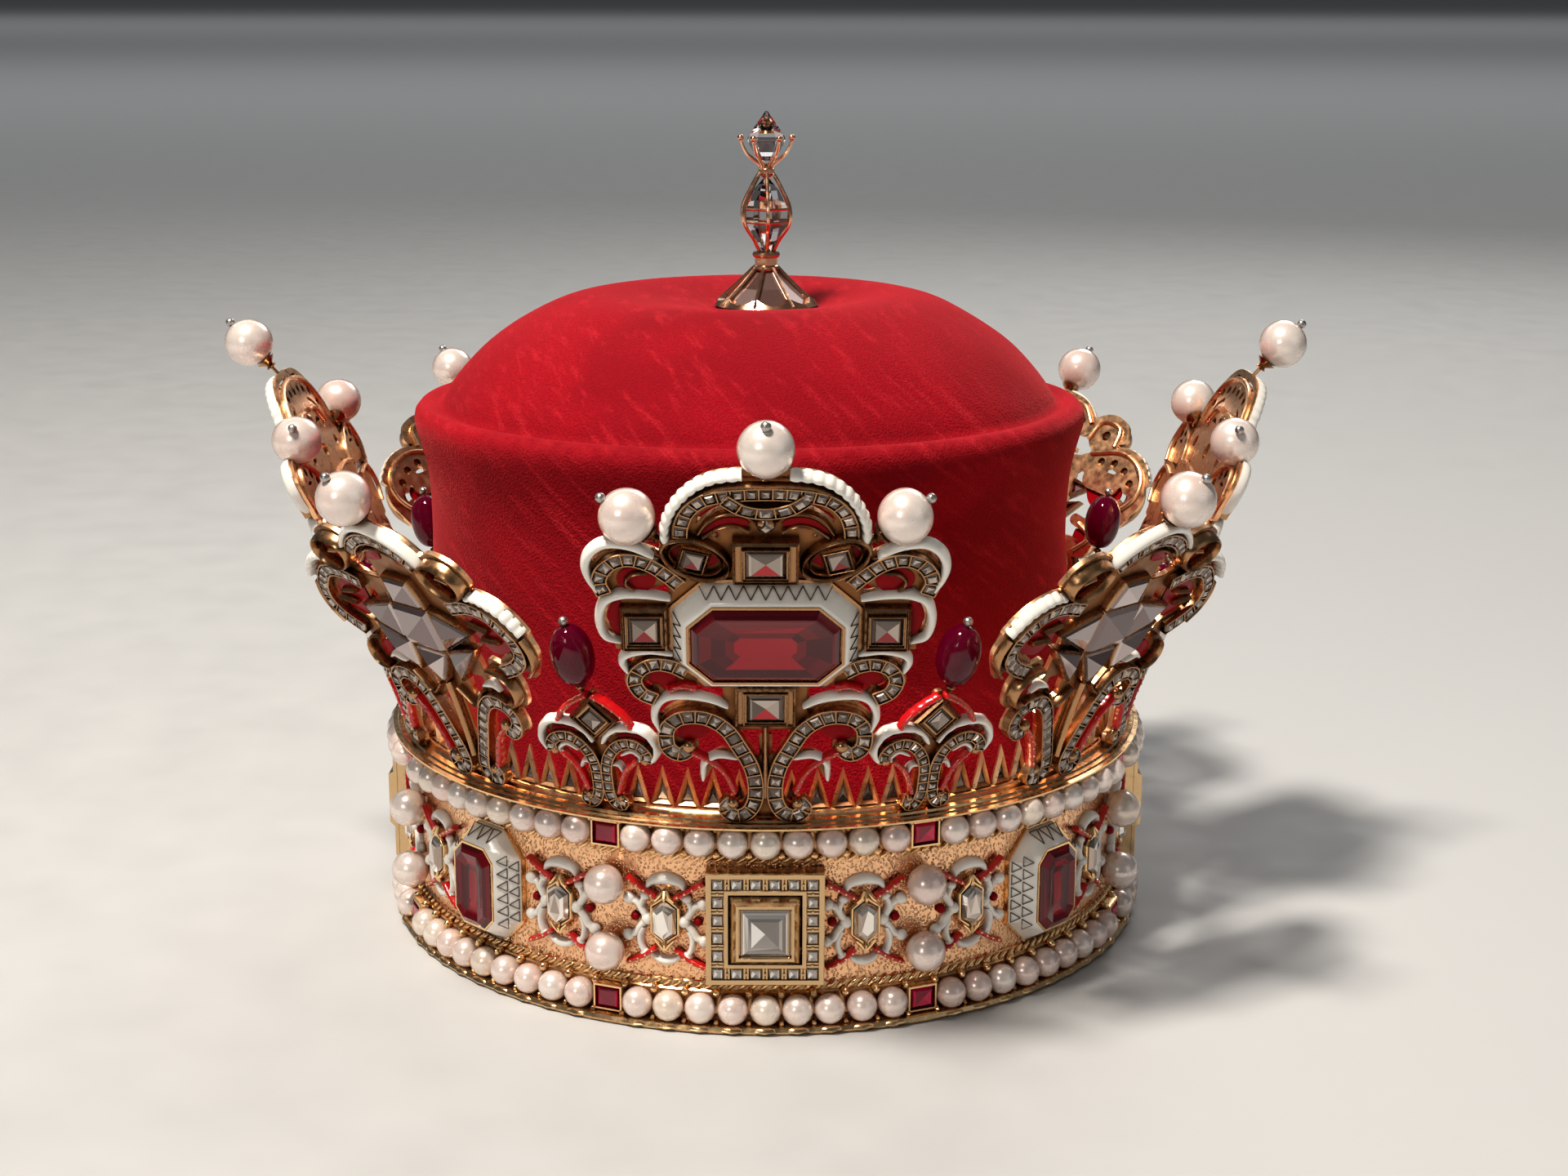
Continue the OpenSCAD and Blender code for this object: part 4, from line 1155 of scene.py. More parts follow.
# %% Side palmette
def side_ornament():
    k = kit()
    top_edge = across([(14.5, 69.4), (12, 72.4), (8.5, 75.3), (4.5, 77.2), (0, 78)])
    enamel_ridge(k, top_edge, 2.5, 2.4, ends=0.6)
    channel(k, across([(12, 68), (9.6, 70.8), (6.6, 72.8), (3.2, 74.2), (0, 74.7)]), 3.4, 3.0)
    wire(k, across([(10, 66.4), (6, 69.6), (0, 71)]), 1.0, 1.7)
    for path in both([(3, 66.6), (8.6, 66), (7, 69), (3, 70.4)]):
        lens(k, path)
    loop = [(15.2, 69.4), (18.6, 71.1), (22.2, 70.9), (25.6, 69), (26.9, 65.7), (25, 62.7),
            (20.5, 61.4), (16.4, 63.4), (14.4, 66.6)]
    for path in both(loop):
        wire(k, path, 1.4, 3.1, closed=True)
    for path in both([(17, 68.6), (22, 69.2), (25, 65.8), (21, 63), (17, 64.6)]):
        lens(k, path)
    for path in both([(18.6, 66.6), (22.6, 65.8)]):
        wire(k, path, 1.6, 1.8)
    edge = [(25.5, 62), (29.8, 62.4), (34.9, 60.4), (38, 57.2), (39.8, 54.2)]
    for path in both(edge):
        line = curve(path, 0.4)
        wide = scallop(line, 2.3, 0.4) * taper(line, 0.7)
        k["white"].add(*strip(line, rounded(2.5, 0, 2.3, 8), wide, 0.7 + 0.3 * wide))
    for path in both([(16.8, 57.1), (24.1, 59), (30, 58), (34, 54.3), (35.9, 50.8), (35.6, 46.8),
                      (32, 43.4), (26.4, 40.7)]):
        channel(k, path, 3.8, 3.1)
    for path in both([(38.6, 52.6), (39.4, 48.6), (38.2, 44.4), (34.8, 41)]):
        wire(k, path, 1.0, 1.8)
    for path in both([(20, 55.4), (28, 54.6), (32, 50.6), (30.6, 46.6), (24, 44.6), (20, 49)]):
        lens(k, path)
    for path in both([(21.6, 53.4), (27.4, 52.4)]):
        wire(k, path, 1.5, 2.3)
    for path in both([(23.6, 49.4), (29.9, 49.8)]):
        wire(k, path, 1.5, 2.3)
    for path in both([(20, 40), (23.6, 39.4), (26.6, 37.2), (27.4, 33.8), (25.6, 31), (22.6, 30.4)]):
        wire(k, path, 1.3, 2.9)
    for path in both([(20.6, 37.6), (24.6, 36), (24.6, 32.8), (20.6, 32.4)]):
        lens(k, path)
    for path in both([(14.6, 33.6), (18.6, 34.6), (20.8, 33.4)]):
        enamel_ridge(k, path, 1.8, 2.0)
    for path in both([(17.6, 22), (19.8, 21.4), (22.2, 23.6), (22.4, 26.8), (19.6, 29.2),
                      (15.6, 29.4), (12, 27), (9.2, 22.6), (6.4, 16.2), (4.2, 10.8), (3.6, 7.4),
                      (4.8, 5.4), (7.4, 5.2), (8.6, 7), (7.2, 8.6)]):
        channel(k, path, 3.8, 3.2)
    for side in (1, -1):
        knob(k, 17.8 * side, 23, 1.6, 1.1)
        knob(k, 7.2 * side, 7.8, 1.4, 1.1)
    for path in both([(17, 22.3), (12.6, 17.6), (9, 9.4)]):
        strung(k, path)
    for path in both([(3, 30), (8, 26), (10.6, 28.8), (13, 31.4)]):
        wire(k, path, 1.2, 2.0)
    wire(k, [(0, 31), (0, 20), (0, 10)], 1.6, 2.3)
    rows = [
        ([(14.5, 69.4), (8.5, 75.3), (0, 78)], 0.9),
        ([(12, 68), (6.6, 72.8), (0, 74.7)], 3.0),
        (loop[:5], 1.6),
        (edge, 0.9),
        ([(16.8, 57.1), (24.1, 59), (30, 58), (35.9, 50.8), (35.6, 46.8), (26.4, 40.7)], 2.8),
        ([(38.6, 52.6), (39.2, 48), (34.8, 41)], 1.2),
        ([(20, 40), (26.6, 37.2), (25.6, 31), (21, 31.4)], 1.7),
        ([(21, 52.9), (28, 51.6)], 3.2),
        ([(14.6, 33.6), (20.8, 33.4)], 1.5),
        ([(17.6, 22), (22.2, 23.6), (19.6, 29.2), (12, 27), (6.4, 16.2), (3.6, 7.4), (7.4, 5.4)], 1.9),
        ([(3, 30), (8, 26), (13, 31.4)], 1.4),
        ([(2, 68), (8, 68)], 2.6),
    ]
    bands = []
    for row, half in rows:
        for path in both(row):
            bands.append((curve(path, 1.2), half))
    boxes = [(0, 47, 30, 24), (0, 62, 18, 12), (0, 15, 3, 22), (0, 33, 14, 8)]
    discs = [(20.6, 66, 5.8), (-20.6, 66, 5.8)]
    holes = holes_along(across([(12, 68), (6.6, 72.8), (0, 74.4)]), 4.6, 1.15)
    holes += [(0, 47, 3.6), (0, 61, 1.8), (0, 34, 1.8)]
    for row, pitch, radius in (([(20, 58), (29, 57.6), (35, 51), (30, 43)], 4.6, 1.3),
                               ([(20.6, 24.6), (16, 28), (9.4, 22.4), (5, 12)], 4.6, 1.1),
                               ([(8, 40), (11, 47), (8, 54)], 6.6, 1.8), ([(20.6, 64), (20.6, 68)], 4, 1.5)):
        for path in both(row):
            holes += holes_along(path, pitch, radius)
    for row in ([(14, 69), (9, 74.4), (0, 76.6)], [(18, 60), (29, 61.4), (37, 56.6), (38, 49), (31, 42)],
                [(15, 64), (18, 70), (24.6, 68.6), (25, 63)],
                [(22.6, 23.6), (20, 29.6), (12, 28.6), (4, 12)],
                [(22, 39), (27, 35.4), (22.6, 31)], [(13, 60), (6, 62), (0, 67)]):
        for path in both(row):
            back_ridge(k, path)
    add_sheet(k, *sheet_mesh((-43, 43, 1, 82), 0.85, -1.3, 0.1, paths=bands, boxes=boxes,
                              discs=discs, holes=holes))
    return k


def pointed(outline, apex, base, rise, k, kind="crystal"):
    """Pyramid of rock crystal in a thin gold rim."""
    ring = [(u, s, base) for u, s in outline]
    mid = [(apex[0] + (u - apex[0]) * 0.86, apex[1] + (s - apex[1]) * 0.86, base + rise * 0.34)
           for u, s in outline]
    verts = np.array([(u, s, base - 0.8) for u, s in outline] + ring + mid + [(*apex, base + rise)])
    size = len(outline)
    faces = [tuple(range(size))]
    for level in (0, 1):
        for i in range(size):
            j = (i + 1) % size
            faces.append((level * size + i, level * size + j, (level + 1) * size + j,
                          (level + 1) * size + i))
    faces += [(2 * size + i, 2 * size + (i + 1) % size, 3 * size) for i in range(size)]
    k[kind].add(verts, faces, 0, False)
    centre = np.mean(outline, axis=0)
    # A small field of red enamel under each crystal stands for the red seen inside it: painted reflection.
    lens(k, [tuple(centre + (np.array(p) - centre) * 0.45) for p in outline], 0.6)
    loop = [tuple(centre + (np.array(p) - centre) * (1 + 0.5 / np.linalg.norm(np.array(p) - centre)))
            for p in outline]
    rim = []
    for a, b in zip(loop, loop[1:] + loop[:1]):
        rim += [tuple(np.array(a) + (np.array(b) - np.array(a)) * t) for t in (0, 0.33, 0.66)]
    line = np.array(rim)
    k["gold"].add(*strip(line, rounded(0.9, 0.0, base + 0.7), closed=True), 0)


def side_crystals():
    k = kit()
    pointed([(-6.5, 42), (6.5, 42), (6.5, 53.8), (-6.5, 53.8)], (0, 48), 1.5, 4.6, k)
    pointed([(-6, 41), (6, 41), (0, 31.4)], (0, 38), 1.5, 3.0, k)
    pointed([(-6, 54.9), (6, 54.9), (4.2, 61.9), (-4.2, 61.9)], (0, 58), 1.5, 3.0, k)
    for side in (1, -1):
        right = [[(7.6, 53.4), (20, 50), (7.6, 42.8)], [(7.4, 41.8), (18.5, 45.2), (8, 34)]]
        for outline in right:
            tri = [(u * side, s) for u, s in outline]
            if side < 0:
                tri = tri[::-1]
            apex = tuple(np.mean(tri, axis=0))
            pointed(tri, apex, 1.5, 3.0, k)
    return k

# %% [markdown]
# ## Small palmette
# Between the large ones stand eight small twin scrolls with a diamond on its corner, each
# crowned by one polished ruby bead on a pin.

# %% Small palmette
def minor_ornament():
    k = kit()
    white = [(1.2, 21), (2.6, 23.3), (4.9, 25), (7.5, 25.6), (10.4, 25.6), (12.6, 24.8),
             (14.3, 22.6), (14.6, 20), (13.4, 17.6)]
    for path in both(white):
        line = curve(path, 0.4)
        wide = taper(line, 0.55) * scallop(line, 2.9, 0.18)
        k["white"].add(*strip(line, rounded(2.2, 0.1, 2.1, 8), wide, 0.75 + 0.25 * wide))
    scroll = [(12, 17.4), (12.2, 19.2), (10.6, 21.1), (8, 21.8), (5.2, 20.8), (2.8, 18.2),
              (1.5, 14.8), (1.3, 11), (1.5, 7.2), (2.9, 4.8), (4.6, 4.9), (4.5, 6.6)]
    for path in both(scroll):
        channel(k, path, 2.9, 2.35, 1.7, 1.2, 0.3)
    for path in both([(4, 22.6), (8, 23.8), (12, 23), (11, 21.8), (8, 22.4)]):
        lens(k, path)
    for path in both([(5.4, 18), (8.4, 19.4), (10.4, 17.6), (8.2, 16.6)]):
        enamel_ridge(k, path, 1.3, 1.5)
    for side in (1, -1):
        knob(k, 11.4 * side, 17.4, 1.2, 0.9)
        knob(k, 4.1 * side, 6.4, 1.0, 0.9)
    for path in both([(0.6, 34), (3.4, 32.4), (5.8, 30.7), (8, 28.6), (9.2, 26.2)]):
        strung(k, path, 0.8, 2.2, 1.7)
    for path in both([(9.6, 17.4), (7, 15), (5.4, 12.4), (3.9, 8)]):
        strung(k, path, 0.8, 2.2)
    for path in both([(2.4, 15), (4.4, 15.2), (5.6, 13)]):
        enamel_ridge(k, path, 1.1, 1.5, ends=0.6)
    framed(k, (0, 27.6), (8.6, 8.6), (6.2, 6.2), 2.7, (4.8, 4.8), 45, floor=1.4, rise=1.1, glint=False)
    bands = []
    for row, half in ((white, 0.6), (scroll[:-1], 1.5), ([(3, 21.8), (12, 22.4)], 1.3)):
        for path in both(row):
            bands.append((curve(path, 0.9), half))
    bands.append((np.array([(0, 8), (0, 33)], float), 1.3))
    add_sheet(k, *sheet_mesh((-17, 17, 1, 35), 0.7, -1.3, 0.1, paths=bands,
                              discs=[(0, 27.6, 4.6)]))
    return k


print("ornament functions ready")

# %% [markdown]
# ## Setting the palmettes in place
# Each drawing is bent once and turned to its places. The gold of each palmette replaces the
# plain CAD plate, so that no surface is there twice; enamel, glass and stones of all palmettes
# are joined in one piece for each material.

# %% Placing
shared = {kind: Soup() for kind in KINDS if kind != "gold"}


def place(k, where):
    for kind, soup in shared.items():
        if k[kind].count:
            soup.join(k[kind], where)


def chain(bend, degrees):
    return lambda points: turned(bend(points), degrees)


def pin_and_cups(gold_soup, silver, chord, pearls, degrees, size):
    """Pin through a pearl, a gold cup under it, a dull ball at its far end."""
    for u, s, n, *root in pearls:
        centre = np.array([u, s, n], float)
        start = np.array(root, float)
        way = (centre - start) / np.linalg.norm(centre - start)
        stem = np.linspace(start, centre + way * (size / 2 + 0.9), 6)
        verts, faces = tube(stem, 0.5, 8)
        gold_soup.add(turned(chord(verts), degrees), faces)
        first = np.cross(way, [1.0, 0, 0])
        first /= np.linalg.norm(first)
        second = np.cross(way, first)
        cup = [(1.0, -3.0), (1.5, -2.6), (0.9, -2.0), (1.2, -1.4), (2.2, -0.5), (2.7, 0.2),
               (2.1, 0.3), (0.4, -0.3)]
        rings = []
        for r, h in cup:
            at = centre + way * (h * 0.8 - size / 2)
            rings.append([at + r * (math.cos(a) * first + math.sin(a) * second)
                          for a in np.linspace(0, 2 * math.pi, 14, endpoint=False)])
        verts, faces = skin(np.array(rings))
        gold_soup.add(turned(chord(verts), degrees), faces)
        verts, faces = ball(centre + way * (size / 2 + 0.7), 1.15, 8, 12)
        silver.add(turned(chord(verts), degrees), faces)


# Columns: side, along the chord and in front of it for the pearl, then for the foot of its pin
FRONT_PEARLS = [(0, 101.2, 1.0, 0, 91, -2.2), (29.5, 82.2, -3.4, 20, 74.6, -2.6),
                (-29.5, 82.2, -3.4, -20, 74.6, -2.6)]
FLANK_PEARLS = [(0, 105.8, 4.1, 0, 91, -1.8), (29.5, 81, -5.2, 20, 74.6, -2.6),
                (-29.5, 81, -5.2, -20, 74.6, -2.6)]
SIDE_PEARL = [(0, 86.1, 0.5, 0, 76, -2)]
GOLDS = [SHADED_FRONT_GOLD, CHASED, RECESS_SHADE_GOLD]

main_kit = main_ornament()
collet_kit = main_collet()
side_kit = side_ornament()
crystal_kit = side_crystals()
minor_kit = minor_ornament()
ruby_cut = great_ruby()

# %% Large palmettes
for number in range(1, 9):
    angle = 45 * (number - 1)
    main = number % 2 == 1
    where = chain(main_map if main else side_map, angle)
    work = Soup()
    for k in ((main_kit, collet_kit) if main else (side_kit, crystal_kit)):
        work.join(k["gold"], where)
        place(k, where)
    if main:
        pearls = FRONT_PEARLS if number in (1, 5) else FLANK_PEARLS
        pin_and_cups(work, shared["silver"], main_chord, pearls, angle, 12.4)
    else:
        pin_and_cups(work, shared["silver"], side_chord, SIDE_PEARL, angle, 12.8)
    work.build(f"palmette_gold_{number}", GOLDS, "crown_gold", [f"palmette_{number}"])
    if main:
        stone = Soup()
        stone.join(ruby_cut, where)
        stone.build(f"great_ruby_{(number + 1) // 2}", [RUBY, RUBY_GLOW], "ruby",
                    [f"palmette_ruby_{(number + 1) // 2}"], 10)

# %% Small palmettes and ruby beads
beads = Soup()
for number in range(1, 9):
    angle = 22.5 + 45 * (number - 1)
    where = chain(minor_map, angle)
    work = Soup()
    work.join(minor_kit["gold"], where)
    place(minor_kit, where)
    lean = -7 * (1 if angle < 180 else -1)

    def bead_frame(points, lean=lean, angle=angle):
        p = np.asarray(points, float) - [0, 12, 0]
        p = turned(p, lean) + [0, 12, 0.5]
        return turned(minor_chord(p), angle)

    stem = np.array([(0, s, -0.8) for s in (30, 36, 44, 51.2)], float)
    verts, faces = tube(stem, 0.5, 8)
    work.add(bead_frame(verts), faces)
    for s, r in ((34.8, 1.2), (33.2, 0.9)):
        verts, faces = ball((0, s, -0.8), r, 7, 12, (1, 0.6, 1))
        work.add(bead_frame(verts), faces)
    verts, faces = ball((0, 51.6, -0.8), 1.15, 8, 12)
    shared["silver"].add(bead_frame(verts), faces)
    work.build(f"small_palmette_gold_{number}", GOLDS, "crown_gold", [f"minor_palmette_{number}"])
    verts, faces = ball((0, 0, 0), 1.0, 20, 28)
    verts[:, 1], verts[:, 2] = verts[:, 2].copy(), verts[:, 1].copy()
    fat = np.sign(verts) * np.abs(verts) ** 0.92
    size = np.array([5.0 * rng.uniform(0.95, 1.0), 7.5, 5.0 * rng.uniform(0.95, 1.0)])
    wobble = 1 + 0.02 * np.sin(3 * verts[:, [0]] + angle) * np.cos(2 * verts[:, [1]])
    beads.add(bead_frame(fat * size * wobble + [0, 43, -0.8]), faces)
beads.build("polished_ruby_beads", [BEAD], "ruby_bead", ["ruby_beads"], 60)
print("palmettes", {name: count for name, count in tally.items() if "palmette" in name})

# %% [markdown]
# ## Pearls
# No pearl is a perfect ball. Each one is stretched a little, turned its own way and given one
# of three tints, so that the rows look strung by hand.

# %% Pearls
def pearl(soup, centre, size, rings=12, segs=20, uneven=0.03):
    verts, faces = ball((0, 0, 0), 1.0, rings, segs)
    stretch = rng.uniform(1 - uneven, 1.0, 3)
    a, b, c = rng.uniform(0, 2 * math.pi, 3)
    dent = 1 - 0.012 * np.sin(2 * verts[:, [0]] * 1.7 + a) * np.cos(2 * verts[:, [1]] + b)
    verts = turned(verts * stretch * dent, math.degrees(c))
    soup.add(verts * size / 2 + np.array(centre), faces, int(rng.choice([0, 0, 0, 1, 1, 2])))


def around_z(r, degrees, z):
    a = math.radians(degrees)
    return (r * math.sin(a), -r * math.cos(a), z)


LOW_ROW = 5.6
HIGH_ROW = 46.7
ROW_SPOTS = [45 * k + 4.5 * i for k in range(8) for i in range(-4, 5)]
TINTS = [PEARL_A, PEARL_B, PEARL_C]
for name, z, replaced in (("lower_row_pearls", LOW_ROW, "lower_pearls"),
                          ("upper_row_pearls", HIGH_ROW, "upper_pearls")):
    row = Soup()
    for spot in ROW_SPOTS:
        pearl(row, around_z(97 + rng.uniform(-0.1, 0), spot + rng.uniform(-0.06, 0.06), z), 7.45, 11, 18)
    row.build(name, TINTS, "pearl", [replaced], 80)
pairs = Soup()
for k in range(8):
    for side in (-1, 1):
        pearl(pairs, around_z(98.35, 22.5 + 45 * k, MID + side * 8.3), 9.6, 16, 28)
pairs.build("paired_pearls", TINTS, "pearl", ["band_pearls"], 80)
tips = Soup()
for number in range(1, 9):
    angle = 45 * (number - 1)
    main = number % 2 == 1
    spots = (FRONT_PEARLS if number in (1, 5) else FLANK_PEARLS) if main else SIDE_PEARL
    for u, s, n, *_ in spots:
        centre = turned((main_chord if main else side_chord)(np.array([[u, s, n]], float)), angle)[0]
        pearl(tips, centre, 12.4 if main else 12.8, 22, 36, 0.05)
tips.build("palmette_tip_pearls", TINTS, "pearl", ["palmette_pearls"], 80)

# %% [markdown]
# ## The band
# One turned profile gives the wall. Its field is punched matt so that the polished rims, the
# rope lines and the claws between the pearls stand out. The spikes are thin frames with a
# backed crystal pane in each.

# %% Band and cresting
band = Soup()
profile = [(89.5, 0.25), (89.75, 0), (98.2, 0), (98.9, 0.35), (99.2, 0.95), (98.6, 1.8), (95.6, 2.2),
           (94.6, 3.4), (94.4, 7.6), (94.8, 9.0), (94.2, 9.5), (93.9, 10.9), (93.5, 11.2)]
field_rows = [(93.5, 11.2), (93.5, 26), (93.5, 41.2)]
upper = [(93.5, 41.2), (93.9, 41.5), (94.2, 42.8), (94.8, 43.4), (94.4, 44.8), (94.6, 48.8),
         (95.6, 49.9), (98.2, 50.1), (98.75, 50.4), (98.7, 50.8), (97.6, 51.0), (97.3, 51.4),
         (96.2, 51.5), (95.9, 52.0), (94.4, 52.2), (93.9, 52.9), (93.2, 53.4), (92.9, 53.5),
         (89.8, 53.5), (89.5, 53.2), (89.5, 26)]
verts, faces = lathe(profile + field_rows[1:2] + upper, 288)
size = len(profile) + 1 + len(upper)
kinds = [2 if len(profile) - 1 <= i <= len(profile) else 0 for i in range(size)]
for i, f in enumerate(faces):
    band.faces.append(f)
    band.kinds.append(kinds[i % size])
    band.round.append(True)
band.verts.append(verts)
band.count += len(verts)


def on_circle(soup, verts, faces, r, degrees, z, kind=0, smooth=True):
    """Put a small shape, drawn with x across, y out and z up, on the band."""
    p = np.column_stack([verts[:, 0], -verts[:, 1] - r, verts[:, 2] + z])
    soup.add(turned(p, degrees), faces, kind, smooth)


twist = ball((0, 0, 0), 1.0, 5, 7)
lay = math.radians(38)
for z in (10.4, 42.0):
    for j in range(230):
        v = twist[0] * [1.75, 0.55, 0.55]
        v = np.column_stack([v[:, 0] * math.cos(lay) - v[:, 2] * math.sin(lay), v[:, 1],
                             v[:, 0] * math.sin(lay) + v[:, 2] * math.cos(lay)])
        on_circle(band, v, twist[1], 94.3, j * 360 / 230, z)
leaf = ball((0, 0, 0), 1.0, 6, 8)
for spot in ROW_SPOTS:
    for z, way in ((LOW_ROW, 1), (HIGH_ROW, -1)):
        for offset in (-2.25, 2.25):
            if offset < 0 and abs((spot + 22.5) % 45 - 4.5) > 0.1:
                continue
            v = leaf[0] * [1.0, 1.5, 1.2]
            on_circle(band, v, leaf[1], 95.4, spot + offset, z + way * 3.4)
            on_circle(band, leaf[0] * [0.75, 1.3, 0.8], leaf[1], 96.9, spot + offset, z - way * 3.3)
    on_circle(band, leaf[0] * [3.3, 1.6, 1.0], leaf[1], 98.1, spot, 1.05)

spike_half = 3.02
panes = Soup()
for j in range(96):
    outer = [(-spike_half, 53.2), (spike_half, 53.2), (0, 63)]
    inner = [(-spike_half + 1.75, 54.5), (spike_half - 1.75, 54.5), (0, 58.8)]
    rings = []
    for (a, z), (b, y) in zip(outer, inner):
        m, n = (a + b) / 2, (z + y) / 2
        rings.append([(a, -0.1, z), (a, 0.45, z), (m, 1.3, n), (b, 0.45, y), (b, -0.1, y)])
    v, f = skin(np.array(rings), True)
    on_circle(band, v, f, 91.4, j * 3.75, 0, 1, False)
    tip = [(0, 0.45, 56.6)]
    v = np.array([(x * 1.05, 0.1, z) for x, z in inner] + tip + [(0, -0.05, 56.6)])
    f = [(0, 1, 3), (1, 2, 3), (2, 0, 3), (1, 0, 4), (2, 1, 4), (0, 2, 4)]
    on_circle(panes, v, f, 91.4, j * 3.75, 0, 0, False)
rim_stones = Soup()
for k8 in range(8):
    for z in (LOW_ROW, HIGH_ROW):
        where = chain(band_map(WALL, z), 22.5 + 45 * k8)
        one = Soup()
        one.add(*loft([(oblong(7.6, 6.9), 0.2), (oblong(7.6, 6.9), 3.3), (oblong(7.0, 6.3), 3.8),
                       (oblong(6.2, 5.5), 3.8), (oblong(6.1, 5.4), 2.2)]), 0, False)
        band.join(one, where)
        one = Soup()
        one.add(*gem((0, 0), 0, 6.0, 5.3, 2.3, 1.7, 0, 0.66, 0.05), 0, False)
        rim_stones.join(one, where)
rim_stones.build("rim_ruby_stones", [RUBY_SMALL], "ruby", ["rim_rubies"], 10)
panes.build("spike_panes", [DARK_PANE], "rock_crystal", [], 10)
band.build("band_gold", [POLISHED, CHASED, MATTED], "crown_gold", ["circlet"])
print("band", tally["band_gold"])

# %% [markdown]
# ## Settings on the band
# Four square plaques carry a step cut diamond inside a border of twenty small ones. Between
# them stand white enamelled settings with a ruby, and units of white scrolls around a long
# crystal, with beaded rods of red glass that reach towards the pearls.

# %% Diamond plaques
def face_map(radius, height):
    def place_flat(points):
        return np.column_stack([points[:, 0], -(radius + points[:, 2]), height + points[:, 1]])
    return place_flat


on_face = face_map(WALL, MID)


def ring_levels(outer, inner, low, high):
    return [(oblong(outer, outer), low), (oblong(outer, outer), high - 0.2),
            (oblong(outer - 0.4, outer - 0.4), high), (oblong(inner + 0.3, inner + 0.3), high),
            (oblong(inner, inner), low + 0.1)]


def follow_wall(points):
    """Back face of a setting: pushed to the curved wall where it would float."""
    p = points.copy()
    back = p[:, 2] < 0
    p[back, 2] = np.sqrt(WALL ** 2 - p[back, 0] ** 2) - WALL + 0.06
    return p


def plaque():
    k = kit()
    w = 27.4
    edge = [(x, -w / 2) for x in np.linspace(-w / 2, w / 2, 9)]
    edge += [(w / 2, y) for y in np.linspace(-w / 2, w / 2, 3)[1:]]
    edge += [(x, w / 2) for x in np.linspace(w / 2, -w / 2, 9)[1:]]
    edge += [(-w / 2, 0)]
    k["gold"].add(*loft([(edge, -1), (edge, 3.9)]), 0, False)
    k["gold"].add(*loft(ring_levels(27.4, 24.6, 3.8, 4.9)), 0, False)
    k["gold"].add(*loft(ring_levels(19.3, 16.9, 3.8, 4.9)), 0, False)
    spots = [-11, -6.6, -2.2, 2.2, 6.6, 11]
    border = [(a, b) for a in spots for b in spots if max(abs(a), abs(b)) > 10]
    for a, b in border:
        k["stones"].add(*gem((a, b), 0, 2.85, 2.85, 3.95, 0.85, 0, 0.55, 0.12), 2, False)
        k["gold"].add(*loft(ring_levels(4.42, 2.9, 3.8, 4.5), (a, b)), 0, False)
    for a in (-8.8, -4.4, 0, 4.4, 8.8):
        for b in (-11, 11):
            for at in ((a, b), (b, a)):
                k["gold"].add(*loft([(oblong(0.7, 0.7), 3.8), (oblong(0.4, 0.4), 4.9)], at), 0, False)
    k["gold"].add(*loft([(oblong(17, 17), 3.8), (oblong(17, 17), 4.7), (oblong(13.4, 13.4), 7.3),
                         (oblong(12.2, 12.2), 7.4), (oblong(11.5, 11.5), 6.9),
                         (oblong(11.4, 11.4), 5.4)]), 0, False)
    levels = [(oblong(11.2, 11.2), 5.5), (oblong(11.2, 11.2), 6.7), (oblong(9.6, 9.6), 7.35),
              (oblong(7.9, 7.9), 7.75), (oblong(6.4, 6.4), 7.9)]
    verts, faces = loft(levels)
    top = list(range(len(verts) - 4, len(verts)))
    verts = np.vstack([verts, [(0, 0, 7.3)]])
    faces = faces[:-1] + [(top[i], top[(i + 1) % 4], len(verts) - 1) for i in range(4)]
    big = Soup()
    big.add(verts, faces, 0, False)
    # The inner facets and three of the four middle facets take the darker diamond as painted shade; the
    # fourth stays bright as a painted highlight.
    dark = [4 * 3 + j for j in range(4)] + [-4, -3, -2]
    for j in dark:
        big.kinds[j] = 1
    return k, big


def on_side(degrees):
    """Placing function for a setting that stands at an angle around the band."""
    def placed(points):
        return turned(on_face(follow_wall(points)), degrees)
    return placed


plaque_kit, plaque_stone = plaque()
for number in range(1, 5):
    where = on_side(90 * (number - 1))
    work = Soup()
    work.join(plaque_kit["gold"], where)
    work.build(f"plaque_gold_{number}", [PLAQUE], "crown_gold", [f"plaque_{number}"])
    place(plaque_kit, where)
    stone = Soup()
    stone.join(plaque_stone, where)
    stone.build(f"step_cut_diamond_{number}", [DIAMOND, DIAMOND_SHADE], "diamond",
                [f"plaque_diamond_{number}"], 5)

